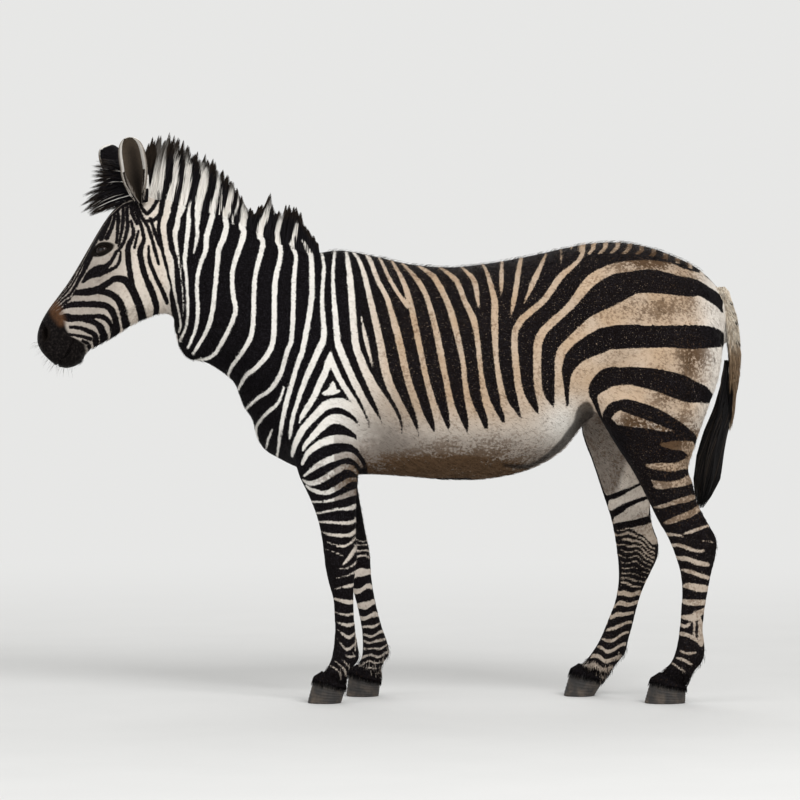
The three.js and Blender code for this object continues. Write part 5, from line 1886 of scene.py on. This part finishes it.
def make_lamp(name, energy, size, where):
    data = bpy.data.lights.new(name, "AREA")
    data.energy = energy
    data.size = size
    place_object(name, data, where, (Vector((0, 0, 0.9)) - Vector(where)).to_track_quat("-Z", "Y").to_euler())


def make_floor(shade):
    """A wide flat floor that fades into the pale surroundings all round."""
    turn = np.linspace(0, 2 * math.pi, 48, endpoint=False)
    points = np.stack([np.cos(turn), np.sin(turn), 0 * turn], 1) * FLOOR_REACH
    finish = Finish("floor", Specular_IOR_Level=0.1)
    finish.end(finish.mix(0.85 + finish.noise(3.0, 3.0) * 0.05, (0.0, 0.0, 0.0), shade), 0.9)
    # Seen directly, the far floor is as pale as the surroundings, without more light on the zebra.
    direct = finish.node("ShaderNodeLightPath", output="Is Camera Ray")
    away = finish.node("ShaderNodeVectorMath", {"operation": "LENGTH"}, {0: finish.place()}, "Value")
    glow = finish.node("ShaderNodeEmission", None, {"Color": shade, "Strength": 1.0})
    lit = Wire(finish, finish.shader.outputs[0])
    both = finish.node("ShaderNodeMixShader", None, {0: away.rise(*FLOOR_FADE) * direct, 1: lit, 2: glow})
    finish.feed(finish.tree.nodes["Material Output"].inputs["Surface"], both)
    make_object("floor", make_mesh("floor", points, fan(48)), finish.material)


def make_world(shade, strength):
    """Pale surroundings: full strength where they are seen, less as light."""
    world = bpy.data.worlds.new("surroundings")
    bpy.context.scene.world = world
    world.use_nodes = True
    finish = Finish("surroundings", tree=world.node_tree)
    light = finish.node("ShaderNodeBackground", None, {"Color": shade, "Strength": strength})
    plain = finish.node("ShaderNodeBackground", None, {"Color": shade, "Strength": 1.0})
    direct = finish.node("ShaderNodeLightPath", output="Is Camera Ray")
    glossy = finish.node("ShaderNodeLightPath", output="Is Glossy Ray")
    both = finish.node("ShaderNodeMixShader", None, {0: direct.over(glossy), 1: light, 2: plain})
    finish.feed(finish.tree.nodes["World Output"].inputs["Surface"], both)


# ---- Settings


def setting(kind, name, description, default, least=0.0, **rest):
    return kind(name=name, description=description, default=default, min=least, **rest)


colour_setting = functools.partial(setting, FloatVectorProperty, size=3, max=1.0, subtype="COLOR")
length_setting = functools.partial(setting, FloatProperty, unit="LENGTH")
power_setting = functools.partial(setting, FloatProperty, unit="POWER")
count_setting = functools.partial(setting, IntProperty, least=10)


class ZebraSizes(bpy.types.PropertyGroup):
    """Sizes of the skin and numbers of hairs"""

    skin_cell: length_setting("Skin cell", "Size of the cells that fuse the body's lofts", 0.0055)
    coat_depth: length_setting("Coat depth", "How far the skin lies inside the body's outline", 0.004)
    coat_tufts: count_setting("Coat tufts", "Flat tufts in each of the coat's pieces", 17000)
    mane_blades: count_setting("Mane blades", "Blades on each side of the mane", 8600)
    forelock_blades: count_setting("Forelock blades", "Blades in the forelock", 2200)
    tail_blades: count_setting("Tail blades", "Long black blades in the tail", 4200)
    dock_blades: count_setting("Dock blades", "Short blades on the tail's dock", 5200)


class ZebraColours(bpy.types.PropertyGroup):
    """Colours of the coat, the hair and the hooves"""

    pale: colour_setting("Pale hair", "The pale stripes of the neck and shoulders", (0.80, 0.77, 0.72))
    tan: colour_setting("Tan hair", "The pale stripes of the flanks and haunches", (0.53, 0.385, 0.26))
    # Also mixed in as painted shade on the belly and in the groin
    ash_and_shade: colour_setting("Ash hair", "The pale stripes towards the muzzle and hooves", (0.27, 0.235, 0.205))
    black: colour_setting("Black hair", "The black stripes", (0.0028, 0.0022, 0.0025))
    # Also used as painted shade along the bottom of the belly and in the groin
    dust: colour_setting("Dust", "Dust on the belly, haunches and legs", (0.098, 0.058, 0.032))
    rust: colour_setting("Rust hair", "The patch above the muzzle", (0.100, 0.047, 0.023))
    muzzle: colour_setting("Muzzle", "Bare skin of the muzzle", (0.005, 0.004, 0.004))
    mane: colour_setting("Mane", "The mane's pale hair", (0.92, 0.89, 0.84))
    horn: colour_setting("Horn", "The hooves' horn", (0.036, 0.032, 0.029))


class ZebraStage(bpy.types.PropertyGroup):
    """Floor, camera and lamps"""

    shade: colour_setting("Floor", "Colour of the floor and of what surrounds it", (0.80, 0.80, 0.79))
    surroundings: FloatProperty(name="Surroundings", description="Strength of the light from all round",
                                default=0.62, min=0.0)
    key: power_setting("Key lamp", "Power of the lamp above the rump", 500.0)
    fill: power_setting("Fill lamp", "Power of the lamp before the head", 150.0)
    behind: power_setting("Lamp behind", "Power of the lamp behind the body", 200.0)
    view_width: length_setting("View width", "Width of the view at the body's middle plane", 2.4)
    view_middle: FloatVectorProperty(name="View middle", description="Its place along and above the floor",
                                     default=(0.036, 0.9), size=2, unit="LENGTH")


def settings(name):
    return getattr(bpy.context.scene, "zebra_" + name)


FINISHES = {
    "striped_coat": ("zebra coat", coat_finish),
    "mane_hair": ("zebra mane", mane_finish),
    "tail_hair": ("zebra tail", tail_finish),
    "horn": ("zebra hoof", horn_finish),
    "eye": ("zebra eye", eye_finish),
}


def finish_of(slot):
    """The finish that fills a slot, made the first time it is asked for."""
    name, maker = FINISHES[slot]
    return bpy.data.materials.get(name) or maker(name)


# ---- Operators

BODY = "body without ears"
SKIN_NODES = ("head", "neck", "trunk", "foreleg_left", "foreleg_right", "hindleg_left", "hindleg_right",
              "tail_dock", "ear_left", "ear_right")


class MakeSkin(bpy.types.Operator):
    """Make the striped skin with its ears"""

    bl_idname = "zebra.skin"
    bl_label = "Skin"

    def execute(self, context):
        sizes = settings("sizes")
        mesh = make_skin(sizes.skin_cell, sizes.coat_depth)
        paint(mesh, points_of(mesh))
        mesh.copy().name = BODY
        make_ears(mesh)
        mesh.polygons.foreach_set("use_smooth", np.ones(len(mesh.polygons), bool))
        make_piece("skin", mesh, "striped_coat", *SKIN_NODES)
        return {"FINISHED"}


class MakeEyes(bpy.types.Operator):
    """Make both eyeballs and the lashes above them"""

    bl_idname = "zebra.eyes"
    bl_label = "Eyes"

    def execute(self, context):
        for side, name in ((-1, "eye_left"), (1, "eye_right")):
            make_eye(name, side)
        make_lashes(np.random.default_rng(8))
        return {"FINISHED"}


class MakeHooves(bpy.types.Operator):
    """Make the four hooves and the hair over their tops"""

    bl_idname = "zebra.hooves"
    bl_label = "Hooves"

    def execute(self, context):
        for name in HOOVES:
            make_hoof(name)
        make_hoof_hair(np.random.default_rng(10))
        return {"FINISHED"}


class MakeMane(bpy.types.Operator):
    """Make the upright mane and the forelock"""

    bl_idname = "zebra.mane"
    bl_label = "Mane and forelock"

    def execute(self, context):
        sizes = settings("sizes")
        random = np.random.default_rng(11)
        make_mane(sizes.mane_blades, random)
        make_forelock(sizes.forelock_blades, random)
        return {"FINISHED"}


class MakeTail(bpy.types.Operator):
    """Make the tail's long hair and the shorter hair on its dock"""

    bl_idname = "zebra.tail"
    bl_label = "Tail"

    def execute(self, context):
        sizes = settings("sizes")
        random = np.random.default_rng(12)
        make_tail(sizes.tail_blades, random)
        make_dock_hair(sizes.dock_blades, random)
        return {"FINISHED"}


class MakeCoat(bpy.types.Operator):
    """Make the short coat, its fringes, the hair in the ears and the whiskers"""

    bl_idname = "zebra.coat"
    bl_label = "Coat"

    def execute(self, context):
        body = bpy.data.meshes[BODY]
        make_coat(body, settings("sizes").coat_tufts, np.random.default_rng(5))
        make_fringes(body, np.random.default_rng(6))
        make_ear_hair(np.random.default_rng(7))
        make_whiskers(body, np.random.default_rng(9))
        bpy.data.meshes.remove(body)
        return {"FINISHED"}


class MakeStage(bpy.types.Operator):
    """Make the floor, the surroundings, the lamps and the camera"""

    bl_idname = "zebra.stage"
    bl_label = "Stage"

    def execute(self, context):
        stage = settings("stage")
        make_camera(stage.view_width, stage.view_middle)
        make_floor(tuple(stage.shade))
        make_world(tuple(stage.shade), stage.surroundings)
        make_lamp("key", stage.key, 4.0, (3.6, -6.0, 6.4))
        make_lamp("fill", stage.fill, 6.0, (-5.0, -5.0, 3.0))
        make_lamp("behind", stage.behind, 6.0, (0.0, 6.0, 6.0))
        context.scene.view_settings.view_transform = "Standard"
        return {"FINISHED"}


OPERATORS = (MakeSkin, MakeEyes, MakeHooves, MakeMane, MakeTail, MakeCoat, MakeStage)
GROUPS = {"zebra_sizes": ZebraSizes, "zebra_colours": ZebraColours, "zebra_stage": ZebraStage}


class ZebraPanel(bpy.types.Panel):
    """The zebra's settings and pieces"""

    bl_idname = "VIEW3D_PT_zebra"
    bl_label = "Mountain zebra"
    bl_space_type = "VIEW_3D"
    bl_region_type = "UI"
    bl_category = "Zebra"

    def draw(self, context):
        for name, group in GROUPS.items():
            box = self.layout.box()
            for setting in group.__annotations__:
                box.prop(getattr(context.scene, name), setting)
        for operator in OPERATORS:
            self.layout.operator(operator.bl_idname)


CLASSES = (*GROUPS.values(), *OPERATORS, ZebraPanel)


def register():
    for each in CLASSES:
        bpy.utils.register_class(each)
    for name, group in GROUPS.items():
        setattr(bpy.types.Scene, name, PointerProperty(type=group))


def unregister():
    for name in GROUPS:
        delattr(bpy.types.Scene, name)
    for each in reversed(CLASSES):
        bpy.utils.unregister_class(each)


def main():
    register()
    bpy.ops.zebra.skin()
    bpy.ops.zebra.eyes()
    bpy.ops.zebra.hooves()
    bpy.ops.zebra.mane()
    bpy.ops.zebra.tail()
    bpy.ops.zebra.coat()
    bpy.ops.zebra.stage()


if __name__ == "__main__":
    main()
